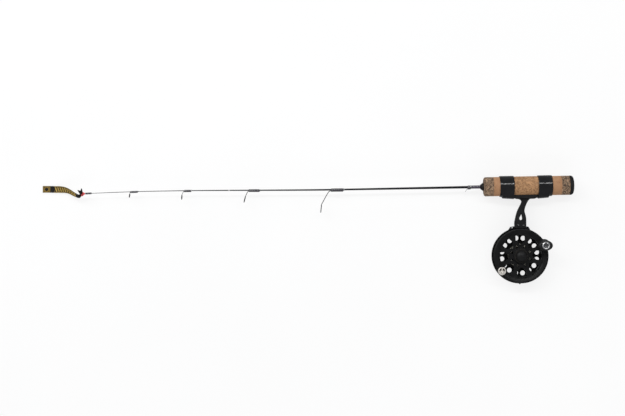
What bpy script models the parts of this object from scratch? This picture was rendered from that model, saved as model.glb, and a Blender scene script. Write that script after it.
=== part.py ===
"""Short ice fishing rod with a one-to-one inline reel, lying on its side.

Frame: the origin is the middle of the reel's rear boss, where the reel rests. +Z is the spool's
axis, +X runs along the rod towards the butt and +Y runs from the reel to the rod. Every length
in the constants is in millimetres and MM turns it into metres.
"""
import math

import bmesh
import bpy
from mathutils import Vector

MM = 0.001

# The rod's own axis, parallel to X, and its stations along X.
ROD_Y, ROD_Z = 86.9, 13.3
TIP_X, BLANK_BUTT_X = -541.0, 62.0
BLANK_BUTT_R, BLANK_MID_R, BLANK_FINE_R, BLANK_TIP_R = 1.5, 0.65, 0.42, 0.3
BLANK_MID_X, BLANK_FINE_X = -350.0, -436.0
TAPER_START_X = -48.0
BOW_HEIGHT, BOW_PEAK_X, BOW_TO_BUTT, BOW_TO_TIP = 2.5, -455.0, 250.0, 165.0
BLANK_POINTS = 26

# Handle: joints between the glued rings, from the front to the butt.
GLUE_GAP = 0.05
CORK_R, CORK_MID_R, CORK_BORE_R = 12.0, 12.2, 1.8
CHECK_X0, CHECK_X1 = -48.3, -44.1
BURL_FRONT_X, RING_FRONT_X, CORK_FRONT_X = -44.0, -32.1, -24.3
CORK_REAR_X, RING_REAR_X, BURL_REAR_X, BUTT_X = 40.9, 52.5, 63.6, 68.6
BAND_FRONT = (-24.3, -6.7)
BAND_REAR = (23.4, 40.9)
BAND_GAP, BAND_THICKNESS = 0.12, 0.95

# Reel foot and stem.
FOOT_X0, FOOT_X1 = -20.3, 36.0
FOOT_HALF_WIDTH, FOOT_TOE_WIDTH = 5.8, 4.0
FOOT_SEAT_R, FOOT_TIP_R, FOOT_SHOULDER_R, FOOT_R = 12.5, 13.9, 14.9, 16.1
STEM_Z0, STEM_Z1, STEM_FOOT_Y = 10.5, 15.5, 34.6
STEM_SCREWS = ((-1.4, 37.9), (4.6, 37.8))
SCREW_SHANK_R, SCREW_HOLE_R, SCREW_HEAD_R = 0.7, 0.95, 1.25

# Reel housing, a shallow pan behind the spool.
PAN_R, PAN_INNER_R, PAN_BACK_Z, PAN_FLOOR_Z, PAN_LIP_Z = 34.9, 33.9, 4.0, 6.5, 9.0
BOSS_R, BOSS_TOP_R, BOSS_TOP_Z = 9.0, 6.6, 7.2
PAD_TOP_Z, PAD_INNER_R = 10.2, 34.4
PORTS, PORT_RING_R, PORT_R, PORT_PHASE = 16, 22.2, 3.07, 9.5
HUB_WALL_IN_R, HUB_WALL_R, HUB_WALL_Z = 10.4, 12.7, 12.4
PIN_AT, PIN_R, PIN_HOLE_R = (-9.35, 35.2), 0.75, 1.0

# Spool.
SPINDLE_R, RUNNING_BORE_R = 2.0, 2.3
HUB_BORE_R, HUB_R, HUB_TOP_Z, HUB_FOOT_Z = 4.3, 9.4, 24.0, 8.2
WEB_TOP_Z, WEB_UNDER_Z = 21.3, 19.3
DRUM_R, DRUM_INNER_R = 27.8, 26.4
RIM_R, BACK_FLANGE_R = 34.2, 33.2
WINDOW_OUT_R, WINDOW_PHASE = 26.0, 1.6
ARMS, ARM_REACH, ARM_HALF = 8, 7.6, 1.9   # straight bars passing the axis at ARM_REACH
DIMPLES, DIMPLE_RING_R, DIMPLE_R, DIMPLE_Z = 18, 27.4, 0.85, 20.6

# Crank knob and its counterweight on the spool's rim.
KNOB_AT = (28.5, 12.7)
KNOB_BORE_R, KNOB_BASE_Z, KNOB_TOP_Z, POST_R = 1.8, 23.8, 39.8, 1.5
KNOB_STEPS = 28
WEIGHT_AT, WEIGHT_R, WEIGHT_HOLE_R = (-24.5, -18.3), 5.0, 1.3

# Line guides: wrap from and to, ring centre, ring outside diameter, wire radius, ring lean.
GUIDES = (
    (-234.8, -219.5, (-247.5, 63.9), 11.0, 0.45, -7.0),
    (-337.6, -323.9, (-342.7, 77.2), 8.9, 0.40, -15.0),
    (-418.3, -409.6, (-421.3, 81.3), 6.7, 0.33, -4.0),
    (-485.7, -476.4, (-486.5, 84.6), 5.6, 0.28, -10.0),
)
WRAP_THICKNESS, TRIM_LENGTH, TRIM_THICKNESS = 0.35, 0.8, 0.35

# Hook keeper and the thread below the handle.
KEEPER_WRAP, GRIP_WRAP = (-63.8, -60.4), (-59.3, -48.5)

# Tip-top.
TIP_TUBE_X0, TIP_TUBE_X1, TIP_TUBE_R, TIP_BORE_R = -542.8, -536.0, 0.72, 0.42
TIP_RING_AT, TIP_RING_OD, TIP_WIRE_R = (-546.2, 87.6), 6.2, 0.35

RIBBON_THICKNESS = 0.4


def tidy_scene():
    for obj in list(bpy.data.objects):
        bpy.data.objects.remove(obj, do_unlink=True)
    made = []
    for name in ("ice_fishing_rod", "cutters"):
        collection = bpy.data.collections.new(name)
        bpy.context.scene.collection.children.link(collection)
        made.append(collection)
    return made


PARTS, TOOLS = tidy_scene()


def material(name, colour, roughness, metallic=0.0):
    mat = bpy.data.materials.new(name)
    mat.use_nodes = True
    shader = mat.node_tree.nodes["Principled BSDF"]
    shader.inputs["Base Color"].default_value = (*colour, 1.0)
    shader.inputs["Roughness"].default_value = roughness
    shader.inputs["Metallic"].default_value = metallic
    return mat


BLANK_PAINT = material("blank_paint", (0.05, 0.05, 0.055), 0.25)
CORK = material("cork", (0.62, 0.42, 0.25), 0.8)
BURL = material("burl_cork", (0.33, 0.19, 0.11), 0.75)
BLACK_RUBBER = material("black_rubber", (0.02, 0.02, 0.022), 0.5)
BAND_VINYL = material("band_vinyl", (0.012, 0.012, 0.013), 0.15)
BLACK_METAL = material("black_metal", (0.03, 0.03, 0.033), 0.35, 0.8)
GREY_METAL = material("grey_anodised", (0.14, 0.14, 0.15), 0.35, 0.9)
STEEL = material("steel", (0.7, 0.7, 0.7), 0.2, 1.0)
BRONZE = material("bearing_bronze", (0.55, 0.36, 0.16), 0.35, 1.0)
THREAD = material("thread", (0.03, 0.02, 0.035), 0.3)
CERAMIC = material("ring_ceramic", (0.02, 0.02, 0.02), 0.1)
RED_PAINT = material("red_paint", (0.5, 0.02, 0.03), 0.3)
SATIN = material("ribbon_satin", (0.55, 0.38, 0.12), 0.45)
FIBRE = material("drag_fibre", (0.2, 0.17, 0.13), 0.8)


def add(name, data, mat=None, at=(0, 0, 0), turn=(0, 0, 0), parent=None):
    """An object with its place in millimetres; one without a material is a tool, not a part."""
    obj = bpy.data.objects.new(name, data)
    obj.location = Vector(at) * MM
    obj.rotation_euler = turn
    if mat is None:
        TOOLS.objects.link(obj)
        obj.hide_render = True
        obj.display_type = "WIRE"
    else:
        PARTS.objects.link(obj)
        data.materials.append(mat)
    if parent is not None:
        obj.parent = parent
        obj.location -= parent.location
    return obj


def pivot(name, at):
    """An empty on a joint's axis, which the moving pieces are parented to."""
    empty = bpy.data.objects.new(name, None)
    empty.location = Vector(at) * MM
    PARTS.objects.link(empty)
    return empty


ALONG_X = (0, math.pi / 2, 0)


def turned(name, profile, mat, steps=36, closed=False, at=(0, 0, 0), turn=(0, 0, 0), parent=None):
    """A profile of (radius, height) spun about the local Z axis, from its top to its bottom."""
    mesh = bpy.data.meshes.new(name)
    count = len(profile)
    edges = [(i, i + 1) for i in range(count - 1)]
    if closed:
        edges.append((count - 1, 0))
    mesh.from_pydata([(r * MM, 0, z * MM) for r, z in profile], edges, [])
    obj = add(name, mesh, mat, at, turn, parent)
    screw = obj.modifiers.new("turn", "SCREW")
    screw.axis = "Z"
    screw.steps = screw.render_steps = steps
    screw.use_merge_vertices = True
    screw.merge_threshold = 0.00001
    screw.use_smooth_shade = True
    return obj


def ring_profile(inner, outer, low, high, ease=0.0):
    """A closed tube section; ease rounds off its two outer corners."""
    return [(inner, high), (outer - ease, high), (outer, high - ease), (outer, low + ease),
            (outer - ease, low), (inner, low)] if ease else [
                (inner, high), (outer, high), (outer, low), (inner, low)]


def drilled(name, holes, sides=12):
    """One tool of separate upright cylinders, each hole (x, y, low, high, radius)."""
    mesh = bpy.data.meshes.new(name)
    shape = bmesh.new()
    for x, y, low, high, radius in holes:
        made = bmesh.ops.create_cone(shape, cap_ends=True, segments=sides, radius1=radius * MM,
                                     radius2=radius * MM, depth=(high - low) * MM)
        bmesh.ops.translate(shape, verts=made["verts"],
                            vec=Vector((x, y, (low + high) / 2)) * MM)
    shape.to_mesh(mesh)
    shape.free()
    return add(name, mesh)


def slot_tool(name, at, size):
    mesh = bpy.data.meshes.new(name)
    shape = bmesh.new()
    bmesh.ops.create_cube(shape, size=MM)
    bmesh.ops.scale(shape, verts=shape.verts, vec=size)
    shape.to_mesh(mesh)
    shape.free()
    return add(name, mesh, at=at)


def ring_of(count, ring_radius, phase):
    angles = (math.radians(phase) + 2 * math.pi * i / count for i in range(count))
    return [(ring_radius * math.cos(a), ring_radius * math.sin(a)) for a in angles]


def boolean(target, tool, operation="DIFFERENCE"):
    mod = target.modifiers.new(tool.name, "BOOLEAN")
    mod.operation = operation
    mod.object = tool
    mod.solver = "EXACT"


def chamfer(obj, width, angle=40.0):
    mod = obj.modifiers.new("edges", "BEVEL")
    mod.width = width * MM
    mod.segments = 1
    mod.limit_method = "ANGLE"
    mod.angle_limit = math.radians(angle)


def wire(name, points, radius, mat=None, sizes=None, resolution=2, **place):
    """A round wire or tapered rod through points, with filled ends."""
    data = bpy.data.curves.new(name, "CURVE")
    data.dimensions = "3D"
    data.bevel_depth = radius * MM
    data.bevel_resolution = resolution
    data.use_fill_caps = True
    spline = data.splines.new("POLY")
    spline.points.add(len(points) - 1)
    for i, point in enumerate(points):
        spline.points[i].co = (*(Vector(point) * MM), 1.0)
        spline.points[i].radius = sizes[i] if sizes else 1.0
    return add(name, data, mat, **place)


def plate(name, outlines, low, high, mat=None, **place):
    """Closed outlines in the XY plane, the first filled and the rest holes, from low to high."""
    data = bpy.data.curves.new(name, "CURVE")
    data.dimensions = "2D"
    data.fill_mode = "BOTH"
    data.extrude = (high - low) / 2 * MM
    for outline in outlines:
        spline = data.splines.new("POLY")
        spline.points.add(len(outline) - 1)
        for point, (x, y) in zip(spline.points, outline):
            point.co = (x * MM, y * MM, 0, 1)
        spline.use_cyclic_u = True
    return add(name, data, mat, at=(0, 0, (low + high) / 2), **place)


def to_mesh(obj):
    """The same shape as a welded mesh, so that it can be cut or joined."""
    bpy.context.view_layer.update()
    graph = bpy.context.evaluated_depsgraph_get()
    mesh = bpy.data.meshes.new_from_object(obj.evaluated_get(graph))
    shape = bmesh.new()
    shape.from_mesh(mesh)
    bmesh.ops.remove_doubles(shape, verts=shape.verts, dist=0.000005)
    bmesh.ops.recalc_face_normals(shape, faces=shape.faces)
    shape.to_mesh(mesh)
    shape.free()
    name, home, matrix = obj.name, obj.users_collection[0], obj.matrix_world.copy()
    hidden = obj.hide_render
    bpy.data.objects.remove(obj, do_unlink=True)
    mesh.name = name
    solid = bpy.data.objects.new(name, mesh)
    home.objects.link(solid)
    solid.matrix_world = matrix
    solid.hide_render = hidden
    solid.display_type = "WIRE" if hidden else "TEXTURED"
    return solid


def smooth_path(keys, steps):
    """Points of a Catmull-Rom curve through tuples of any length."""
    out = []
    for i in range(len(keys) - 1):
        a, b, c, d = (keys[min(max(j, 0), len(keys) - 1)] for j in (i - 1, i, i + 1, i + 2))
        for k in range(steps):
            t = k / steps
            out.append(tuple(0.5 * (2 * q + (r - p) * t + (2 * p - 5 * q + 4 * r - s) * t * t
                                    + (3 * q - p - 3 * r + s) * t ** 3)
                             for p, q, r, s in zip(a, b, c, d)))
    out.append(tuple(keys[-1]))
    return out


def loft(name, sections, mat, closed=False):
    """Joins equal rings of points, each in order; closed joins the last ring to the first."""
    mesh = bpy.data.meshes.new(name)
    shape = bmesh.new()
    rings = [[shape.verts.new(Vector(p) * MM) for p in section] for section in sections]
    pairs = list(zip(rings, rings[1:])) + ([(rings[-1], rings[0])] if closed else [])
    for a, b in pairs:
        for i in range(len(a)):
            j = (i + 1) % len(a)
            shape.faces.new((a[i], a[j], b[j], b[i]))
    if not closed:
        shape.faces.new(rings[0])
        shape.faces.new(rings[-1])
    bmesh.ops.recalc_face_normals(shape, faces=shape.faces)
    shape.to_mesh(mesh)
    shape.free()
    mesh.shade_smooth()
    mesh.set_sharp_from_angle(angle=math.radians(35))
    return add(name, mesh, mat)


# ---- Blank -----------------------------------------------------------------------------------

def bow(x):
    """How far the blank's middle lies from the rod's axis: it bows gently near the tip."""
    reach = BOW_TO_BUTT if x > BOW_PEAK_X else BOW_TO_TIP
    share = min(abs(x - BOW_PEAK_X) / reach, 1.0)
    return BOW_HEIGHT * math.cos(share * math.pi / 2) ** 2


def bow_slope(x):
    return bow(x + 0.5) - bow(x - 0.5)


def blank_radius(x):
    stations = ((TAPER_START_X, BLANK_BUTT_R), (BLANK_MID_X, BLANK_MID_R),
                (BLANK_FINE_X, BLANK_FINE_R), (TIP_X, BLANK_TIP_R))
    if x >= TAPER_START_X:
        return BLANK_BUTT_R
    for (x0, r0), (x1, r1) in zip(stations, stations[1:]):
        if x >= x1:
            return r0 + (r1 - r0) * (x0 - x) / (x0 - x1)
    return BLANK_TIP_R


def rod_point(x, drop=0.0):
    return (x, ROD_Y + bow(x) - drop, ROD_Z)


def make_blank():
    stations = [BLANK_BUTT_X] + [TAPER_START_X + (TIP_X - TAPER_START_X) * i / (BLANK_POINTS - 1)
                                 for i in range(BLANK_POINTS)]
    wire("rod_blank", [rod_point(x) for x in stations], 1.0, BLANK_PAINT,
         sizes=[blank_radius(x) for x in stations])


def sleeve(name, x0, x1, inner, outer, mat, drop=0.0, steps=14):
    """A short tube on the blank, in line with it there."""
    middle, half = (x0 + x1) / 2, (x1 - x0) / 2
    ease = min(0.15, (outer - inner) / 2)
    turned(name, ring_profile(inner, outer, -half, half, ease), mat, steps, True,
           at=rod_point(middle, drop), turn=(0, math.pi / 2, bow_slope(middle)))


# ---- Handle ----------------------------------------------------------------------------------

def cork_ring(name, x0, x1, mat, ease_front=0.0, ease_rear=0.0, outer=CORK_R):
    low, high = x0 + GLUE_GAP / 2, x1 - GLUE_GAP / 2
    profile = [(CORK_BORE_R, high)]
    for cosine, sine in ((1, 0), (0.7, 0.3), (0.3, 0.7), (0, 1)) if ease_rear else ((0, 0),):
        profile.append((outer - ease_rear * cosine, high - ease_rear * sine))
    for cosine, sine in ((0, 1), (0.3, 0.7), (0.7, 0.3), (1, 0)) if ease_front else ((0, 0),):
        profile.append((outer - ease_front * cosine, low + ease_front * sine))
    profile.append((CORK_BORE_R, low))
    turned(name, profile, mat, 30, True, at=(0, ROD_Y, ROD_Z), turn=ALONG_X)


def make_handle():
    cork_ring("cork_front_burl", BURL_FRONT_X, RING_FRONT_X, BURL, ease_front=2.2)
    cork_ring("cork_front_ring", RING_FRONT_X, CORK_FRONT_X, CORK)
    cork_ring("cork_rear_ring", CORK_REAR_X, RING_REAR_X, CORK)
    cork_ring("cork_rear_burl", RING_REAR_X, BURL_REAR_X, BURL, ease_rear=0.4)
    middle = [(CORK_BORE_R, CORK_REAR_X - GLUE_GAP), (CORK_R, CORK_REAR_X - GLUE_GAP),
              (CORK_R, BAND_REAR[0]), (CORK_MID_R, BAND_REAR[0] - 1.5),
              (CORK_MID_R, BAND_FRONT[1] + 1.5), (CORK_R, BAND_FRONT[1]),
              (CORK_R, CORK_FRONT_X + GLUE_GAP), (CORK_BORE_R, CORK_FRONT_X + GLUE_GAP)]
    turned("cork_center", middle, CORK, 30, True, at=(0, ROD_Y, ROD_Z), turn=ALONG_X)
    cap = [(0, BUTT_X), (8.6, BUTT_X), (10.6, BUTT_X - 0.7), (11.7, BUTT_X - 2.0),
           (12.1, BUTT_X - 3.6), (12.1, BURL_REAR_X + GLUE_GAP), (0, BURL_REAR_X + GLUE_GAP)]
    turned("butt_cap", cap, BLACK_RUBBER, 30, at=(0, ROD_Y, ROD_Z), turn=ALONG_X)
    check = [(CORK_BORE_R, CHECK_X1), (4.9, CHECK_X1), (5.1, CHECK_X1 - 0.8), (3.9, CHECK_X0 + 1.6),
             (2.7, CHECK_X0 + 0.2), (2.4, CHECK_X0), (CORK_BORE_R, CHECK_X0)]
    turned("winding_check", check, BLACK_RUBBER, 20, True, at=(0, ROD_Y, ROD_Z), turn=ALONG_X)


def toe_outer(x):
    """Outside radius of the reel foot about the rod's axis, from its thin toes to its middle."""
    def rise(depth):
        return FOOT_TIP_R + (FOOT_SHOULDER_R - FOOT_TIP_R) * min(depth / 13.6, 1.0)
    return rise(x - FOOT_X0) if x < (FOOT_X0 + FOOT_X1) / 2 else rise(FOOT_X1 - x)


def band_radius(angle, x):
    """Inside of a stretched band: round on the cork and drawn tight over the foot's toe."""
    cork = CORK_R + BAND_GAP
    if not FOOT_X0 - 0.5 < x < FOOT_X1 + 0.5:
        return cork
    toe = toe_outer(x) + BAND_GAP + 0.1
    half = math.asin(FOOT_HALF_WIDTH / toe) + 0.08
    off = abs((angle + math.pi / 2 + math.pi) % (2 * math.pi) - math.pi)
    if off <= half:
        return toe
    lean = math.acos(cork / toe)
    return cork / math.cos(half + lean - off) if off < half + lean else cork


def make_band(name, x0, x1, toe_end):
    """A stretchy sleeve that holds one toe of the foot on the cork."""
    outward = 1 if toe_end > 0 else -1
    stations = sorted({x0, x1, toe_end + 0.25 * outward, toe_end + 1.4 * outward})
    steps = 36
    angles = [2 * math.pi * i / steps for i in range(steps)]

    def ring(x, extra):
        radii = [band_radius(a, x) + extra for a in angles]
        return [(x, ROD_Y + r * math.sin(a), ROD_Z + r * math.cos(a))
                for a, r in zip(angles, radii)]

    outside = [ring(x, BAND_THICKNESS) for x in stations]
    outside = ([ring(x0, BAND_THICKNESS - 0.35)] + [ring(x0 + 0.35, BAND_THICKNESS)]
               + outside[1:-1] + [ring(x1 - 0.35, BAND_THICKNESS)]
               + [ring(x1, BAND_THICKNESS - 0.35)])
    inside = [ring(x, 0.0) for x in reversed(stations)]
    loft(name, outside + inside, BAND_VINYL, closed=True)


# ---- Reel foot and stem ------------------------------------------------------------------------

def make_foot():
    """The saddle is a turned shell trimmed to the foot's outline, joined to a flat stem."""
    saddle = turned("reel_foot", [
        (FOOT_SEAT_R, FOOT_X1), (FOOT_TIP_R, FOOT_X1), (FOOT_SHOULDER_R, FOOT_X1 - 13.6),
        (FOOT_R, FOOT_X1 - 17.0), (FOOT_R, FOOT_X0 + 17.0), (FOOT_SHOULDER_R, FOOT_X0 + 13.6),
        (FOOT_TIP_R, FOOT_X0), (FOOT_SEAT_R, FOOT_X0)], BLACK_METAL, 56, True,
        at=(0, ROD_Y, ROD_Z), turn=ALONG_X)
    wide, toe = FOOT_HALF_WIDTH, FOOT_TOE_WIDTH
    half = [(FOOT_X0, 0), (FOOT_X0, toe - 1.6), (FOOT_X0 + 0.8, toe), (FOOT_X0 + 9, wide - 0.5),
            (FOOT_X0 + 15, wide), (FOOT_X1 - 15, wide), (FOOT_X1 - 9, wide - 0.5),
            (FOOT_X1 - 0.8, toe), (FOOT_X1, toe - 1.6), (FOOT_X1, 0)]
    outline = half + [(x, -z) for x, z in reversed(half[1:-1])]
    depth = FOOT_R - FOOT_SEAT_R * 0.7
    trim = plate("foot_outline", [outline], -depth, depth, turn=(math.pi / 2, 0, 0))
    trim.location = Vector((0, ROD_Y - FOOT_R + 1.5, ROD_Z)) * MM
    boolean(saddle, to_mesh(trim), "INTERSECT")
    left = smooth_path([(-6.4, 39.0), (-6.2, 42.8), (-3.0, 54.9), (2.2, 65.4), (2.6, 68.6),
                        (0.8, 70.2), (-1.6, 70.9)], 3)
    right = smooth_path([(14.8, 70.9), (12.3, 69.9), (9.8, 66.4), (7.4, 61.0), (6.3, 55.4),
                         (8.1, 47.9), (8.2, 39.0)], 3)
    outline = ([(-6.4, STEM_FOOT_Y)] + left + [(-1.6, 71.8), (14.8, 71.8)] + right
               + [(8.2, STEM_FOOT_Y)])
    tear = [(1.55 + 1.95 * math.cos(a), 46.6 + 2.1 * math.sin(a))
            for a in (math.radians(155 + 25 * i) for i in range(10))] + [(2.75, 51.6), (2.05, 51.8)]
    stem = to_mesh(plate("stem_plate", [outline, tear], STEM_Z0, STEM_Z1))
    chamfer(stem, 0.5, 50)
    boolean(saddle, stem, "UNION")
    boolean(saddle, drilled("stem_screw_holes",
                            [(x, y, STEM_Z0 - 1, STEM_Z1 + 1, SCREW_HOLE_R)
                             for x, y in STEM_SCREWS], 10))
    for side, (x, y) in zip(("left", "right"), STEM_SCREWS):
        head, top = STEM_Z1 + 0.2, STEM_Z1 + 0.95
        turned(f"stem_screw_{side}", [
            (0, top), (0.8, top), (SCREW_HEAD_R, top - 0.4), (SCREW_HEAD_R, head),
            (SCREW_SHANK_R, head), (SCREW_SHANK_R, 6.0), (0, 6.0)], STEEL, 12, at=(x, y, 0))


# ---- Reel ------------------------------------------------------------------------------------

def make_housing():
    pan = turned("reel_housing", [
        (0, 1.2), (RUNNING_BORE_R, 1.2), (RUNNING_BORE_R, BOSS_TOP_Z), (BOSS_TOP_R, BOSS_TOP_Z),
        (BOSS_TOP_R + 0.6, PAN_FLOOR_Z), (HUB_WALL_IN_R, PAN_FLOOR_Z),
        (HUB_WALL_IN_R, HUB_WALL_Z), (HUB_WALL_R - 0.4, HUB_WALL_Z), (HUB_WALL_R, HUB_WALL_Z - 0.4),
        (HUB_WALL_R, PAN_FLOOR_Z), (PAN_INNER_R, PAN_FLOOR_Z), (PAN_INNER_R, PAN_LIP_Z),
        (PAN_R, PAN_LIP_Z), (PAN_R, PAN_BACK_Z + 0.6), (PAN_R - 0.6, PAN_BACK_Z),
        (BOSS_R + 0.4, PAN_BACK_Z), (BOSS_R, 0.5), (BOSS_R - 0.5, 0), (0, 0)], GREY_METAL, 40)
    arc = [(PAD_INNER_R * math.cos(a), PAD_INNER_R * math.sin(a))
           for a in (math.radians(66 + 4.8 * i) for i in range(11))]
    pad = arc + [(-10.4, 36.3), (-5.6, 36.8), (-5.4, 42.8), (7.4, 42.8), (7.4, 36.8), (11.6, 36.0)]
    boolean(pan, to_mesh(plate("stem_pad", [pad], PAN_BACK_Z + 0.3, PAD_TOP_Z)), "UNION")
    boolean(pan, drilled("rim_nub", [(-0.3, -35.0, 5.0, 8.8, 0.9)], 10), "UNION")
    below, above = PAN_BACK_Z - 1, PAN_FLOOR_Z + 1
    ports = [(x, y, below, above, PORT_R) for x, y in ring_of(PORTS, PORT_RING_R, PORT_PHASE)]
    boolean(pan, drilled("housing_ports", ports, 12))
    bores = [(x, y, 5.6, PAD_TOP_Z + 1, SCREW_HOLE_R) for x, y in STEM_SCREWS]
    boolean(pan, drilled("pad_bores", bores + [(*PIN_AT, 6.0, PAD_TOP_Z + 1, PIN_HOLE_R)], 10))
    turned("line_pin", [(0, 14.6), (0.5, 14.6), (PIN_R, 14.3), (PIN_R, 6.4), (0, 6.4)], STEEL, 12,
           at=(*PIN_AT, 0))
    collar = 3.2
    turned("spindle", [(0, 29.0), (1.6, 29.0), (SPINDLE_R, 28.6), (SPINDLE_R, 8.2), (collar, 8.2),
                       (collar, 7.5), (SPINDLE_R, 7.5), (SPINDLE_R, 1.5), (0, 1.5)], STEEL, 20)
    for name, low in (("bearing_rear", 8.5), ("bearing_front", 20.7)):
        turned(name, ring_profile(RUNNING_BORE_R, HUB_BORE_R - 0.3, low, low + 3.0), BRONZE, 20,
               True)


def web_windows():
    """The openings of an eight-pointed star of crossing bars: one outside and one inside each X."""
    near, far = ARM_REACH - ARM_HALF, ARM_REACH + ARM_HALF
    eighth = math.pi / ARMS
    shoulder = math.asin(near / WINDOW_OUT_R)
    outer = [(far * math.sqrt(2), 0), (far * math.sqrt(2) + near, near)]
    outer += [(WINDOW_OUT_R * math.cos(shoulder * k / 3), WINDOW_OUT_R * math.sin(shoulder * k / 3))
              for k in range(3, -4, -1)]
    outer.append((far * math.sqrt(2) + near, -near))
    wide = near * math.cos(eighth) - far * math.sin(eighth)
    waist = far * math.cos(eighth) + near * math.sin(eighth)
    inner = [(far / math.cos(eighth), 0), (waist, wide), (near / math.sin(eighth), 0),
             (waist, -wide)]
    outlines = []
    for k in range(ARMS):
        for outline, turn in ((outer, 2 * k * eighth), (inner, (2 * k + 1) * eighth)):
            turn += math.radians(WINDOW_PHASE)
            outlines.append([(x * math.cos(turn) - y * math.sin(turn),
                              x * math.sin(turn) + y * math.cos(turn)) for x, y in outline])
    return outlines


def make_spool(spin):
    spool = turned("spool", [
        (HUB_BORE_R, HUB_TOP_Z), (HUB_R - 0.4, HUB_TOP_Z), (HUB_R, HUB_TOP_Z - 0.4),
        (HUB_R + 0.2, WEB_TOP_Z), (DRUM_R, WEB_TOP_Z), (DRUM_R + 0.8, 21.9), (31.6, 22.8),
        (32.9, 23.0), (RIM_R - 0.1, 22.5), (RIM_R, 21.6), (RIM_R - 0.5, 21.0), (DRUM_R, 20.7),
        (DRUM_R, 9.2), (BACK_FLANGE_R - 0.2, 8.7), (BACK_FLANGE_R, 8.1),
        (BACK_FLANGE_R - 0.4, 7.4), (DRUM_INNER_R, 7.4), (DRUM_INNER_R, WEB_UNDER_Z),
        (HUB_BORE_R + 2.1, WEB_UNDER_Z), (HUB_BORE_R + 2.1, HUB_FOOT_Z),
        (HUB_BORE_R, HUB_FOOT_Z)], GREY_METAL, 40, True, parent=spin)
    high = HUB_TOP_Z + 1
    boolean(spool, to_mesh(plate("spool_windows", web_windows(), WEB_UNDER_Z - 1, high)))
    boolean(spool, drilled("rim_holes", [(*KNOB_AT, 20, high, KNOB_BORE_R),
                                         (*WEIGHT_AT, 20, high, WEIGHT_HOLE_R)], 10))
    dimples = [(x, y, DIMPLE_Z, high, DIMPLE_R)
               for x, y in ring_of(DIMPLES, DIMPLE_RING_R, WINDOW_PHASE)]
    boolean(spool, drilled("rim_dimples", dimples, 6))

    weight = ring_profile(WEIGHT_HOLE_R, WEIGHT_R, 23.4, 26.4, 0.5)
    turned("counterweight", weight, STEEL, 24, True, at=(*WEIGHT_AT, 0), parent=spin)
    screw = turned("counterweight_screw", [
        (0, 27.5), (1.7, 27.5), (2.4, 27.0), (2.5, 26.6), (1.0, 26.6), (1.0, 19.9), (0, 19.9)],
        STEEL, 16, at=(*WEIGHT_AT, 0), parent=spin)
    for name, size in (("slot_along", (3.2, 0.6, 1.0)), ("slot_across", (0.6, 3.2, 1.0))):
        boolean(screw, slot_tool(name, (*WEIGHT_AT, 27.4), size))
    turned("knob_post", [(0, 39.9), (POST_R, 39.9), (POST_R, 20.6), (2.6, 20.6), (2.6, 19.9),
                         (0, 19.9)], STEEL, 16, at=(*KNOB_AT, 0), parent=spin)
    cap = turned("knob_cap", [(0, 41.5), (3.6, 41.5), (4.5, 41.1), (4.8, 40.5), (4.6, 40.1),
                              (0, 40.1)], STEEL, 24, at=(*KNOB_AT, 0), parent=spin)
    boolean(cap, drilled("cap_socket", [(*KNOB_AT, 40.9, 42.5, 1.9)], 6))


def make_knobs():
    knob_pivot = pivot("knob_axis", (*KNOB_AT, KNOB_BASE_Z))
    stations = [
        (KNOB_BORE_R, KNOB_BORE_R, KNOB_TOP_Z), (6.8, 4.8, KNOB_TOP_Z), (8.2, 5.8, 39.2),
        (8.9, 6.4, 37.8), (8.7, 6.3, 35.0), (7.0, 6.0, 30.8), (6.8, 6.6, 27.6), (7.7, 7.6, 25.4),
        (8.1, 8.0, 24.5), (7.7, 7.6, KNOB_BASE_Z), (KNOB_BORE_R, KNOB_BORE_R, KNOB_BASE_Z)]
    knob = loft("crank_knob", [
        [(along * math.cos(a), across * math.sin(a), z - KNOB_BASE_Z)
         for a in (2 * math.pi * i / KNOB_STEPS for i in range(KNOB_STEPS))]
        for along, across, z in stations], BLACK_RUBBER, True)
    knob.parent = knob_pivot
    drag_pivot = pivot("drag_axis", (0, 0, HUB_TOP_Z))
    turned("drag_knob", [
        (0, 31.8), (2.8, 31.5), (5.2, 30.4), (6.8, 28.6), (7.5, 26.4), (7.5, 25.6), (7.2, 25.3),
        (5.6, 25.3), (5.6, 28.2), (RUNNING_BORE_R, 28.2), (RUNNING_BORE_R, 29.6), (0, 29.6)],
        BLACK_RUBBER, 24, parent=drag_pivot)
    turned("drag_washer", ring_profile(RUNNING_BORE_R, 8.4, HUB_TOP_Z + 0.3, HUB_TOP_Z + 1.0),
           FIBRE, 28, True)
    turns, sides = 2.2, 12
    coil = [(4.0 * math.cos(2 * math.pi * i / sides), 4.0 * math.sin(2 * math.pi * i / sides),
             25.75 + 1.95 * i / (turns * sides)) for i in range(int(turns * sides) + 1)]
    wire("drag_spring", coil, 0.33, STEEL, resolution=1)


# ---- Guides, keeper, tip-top ------------------------------------------------------------------

def torus(name, at, outside, wire_radius, lean, sides=18):
    section = [(outside / 2 - wire_radius + wire_radius * math.cos(a), wire_radius * math.sin(a))
               for a in (math.radians(90 - 72 * i) for i in range(5))]
    return turned(name, section, None, sides, True, at=(*at, ROD_Z),
                  turn=(0, math.pi / 2, math.radians(lean)))


def ring_insert(name, at, outside, wire_radius, lean):
    outer = outside / 2 - 2 * wire_radius - 0.05
    wall = 0.12 * outside / 2 + 0.2
    turned(name, [(outer - wall, 0.25), (outer - wall * 0.6, 0.55), (outer, 0.5), (outer, -0.5),
                  (outer - wall * 0.6, -0.55), (outer - wall, -0.25)], CERAMIC, 16, True,
           at=(*at, ROD_Z), turn=(0, math.pi / 2, math.radians(lean)))


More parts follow.
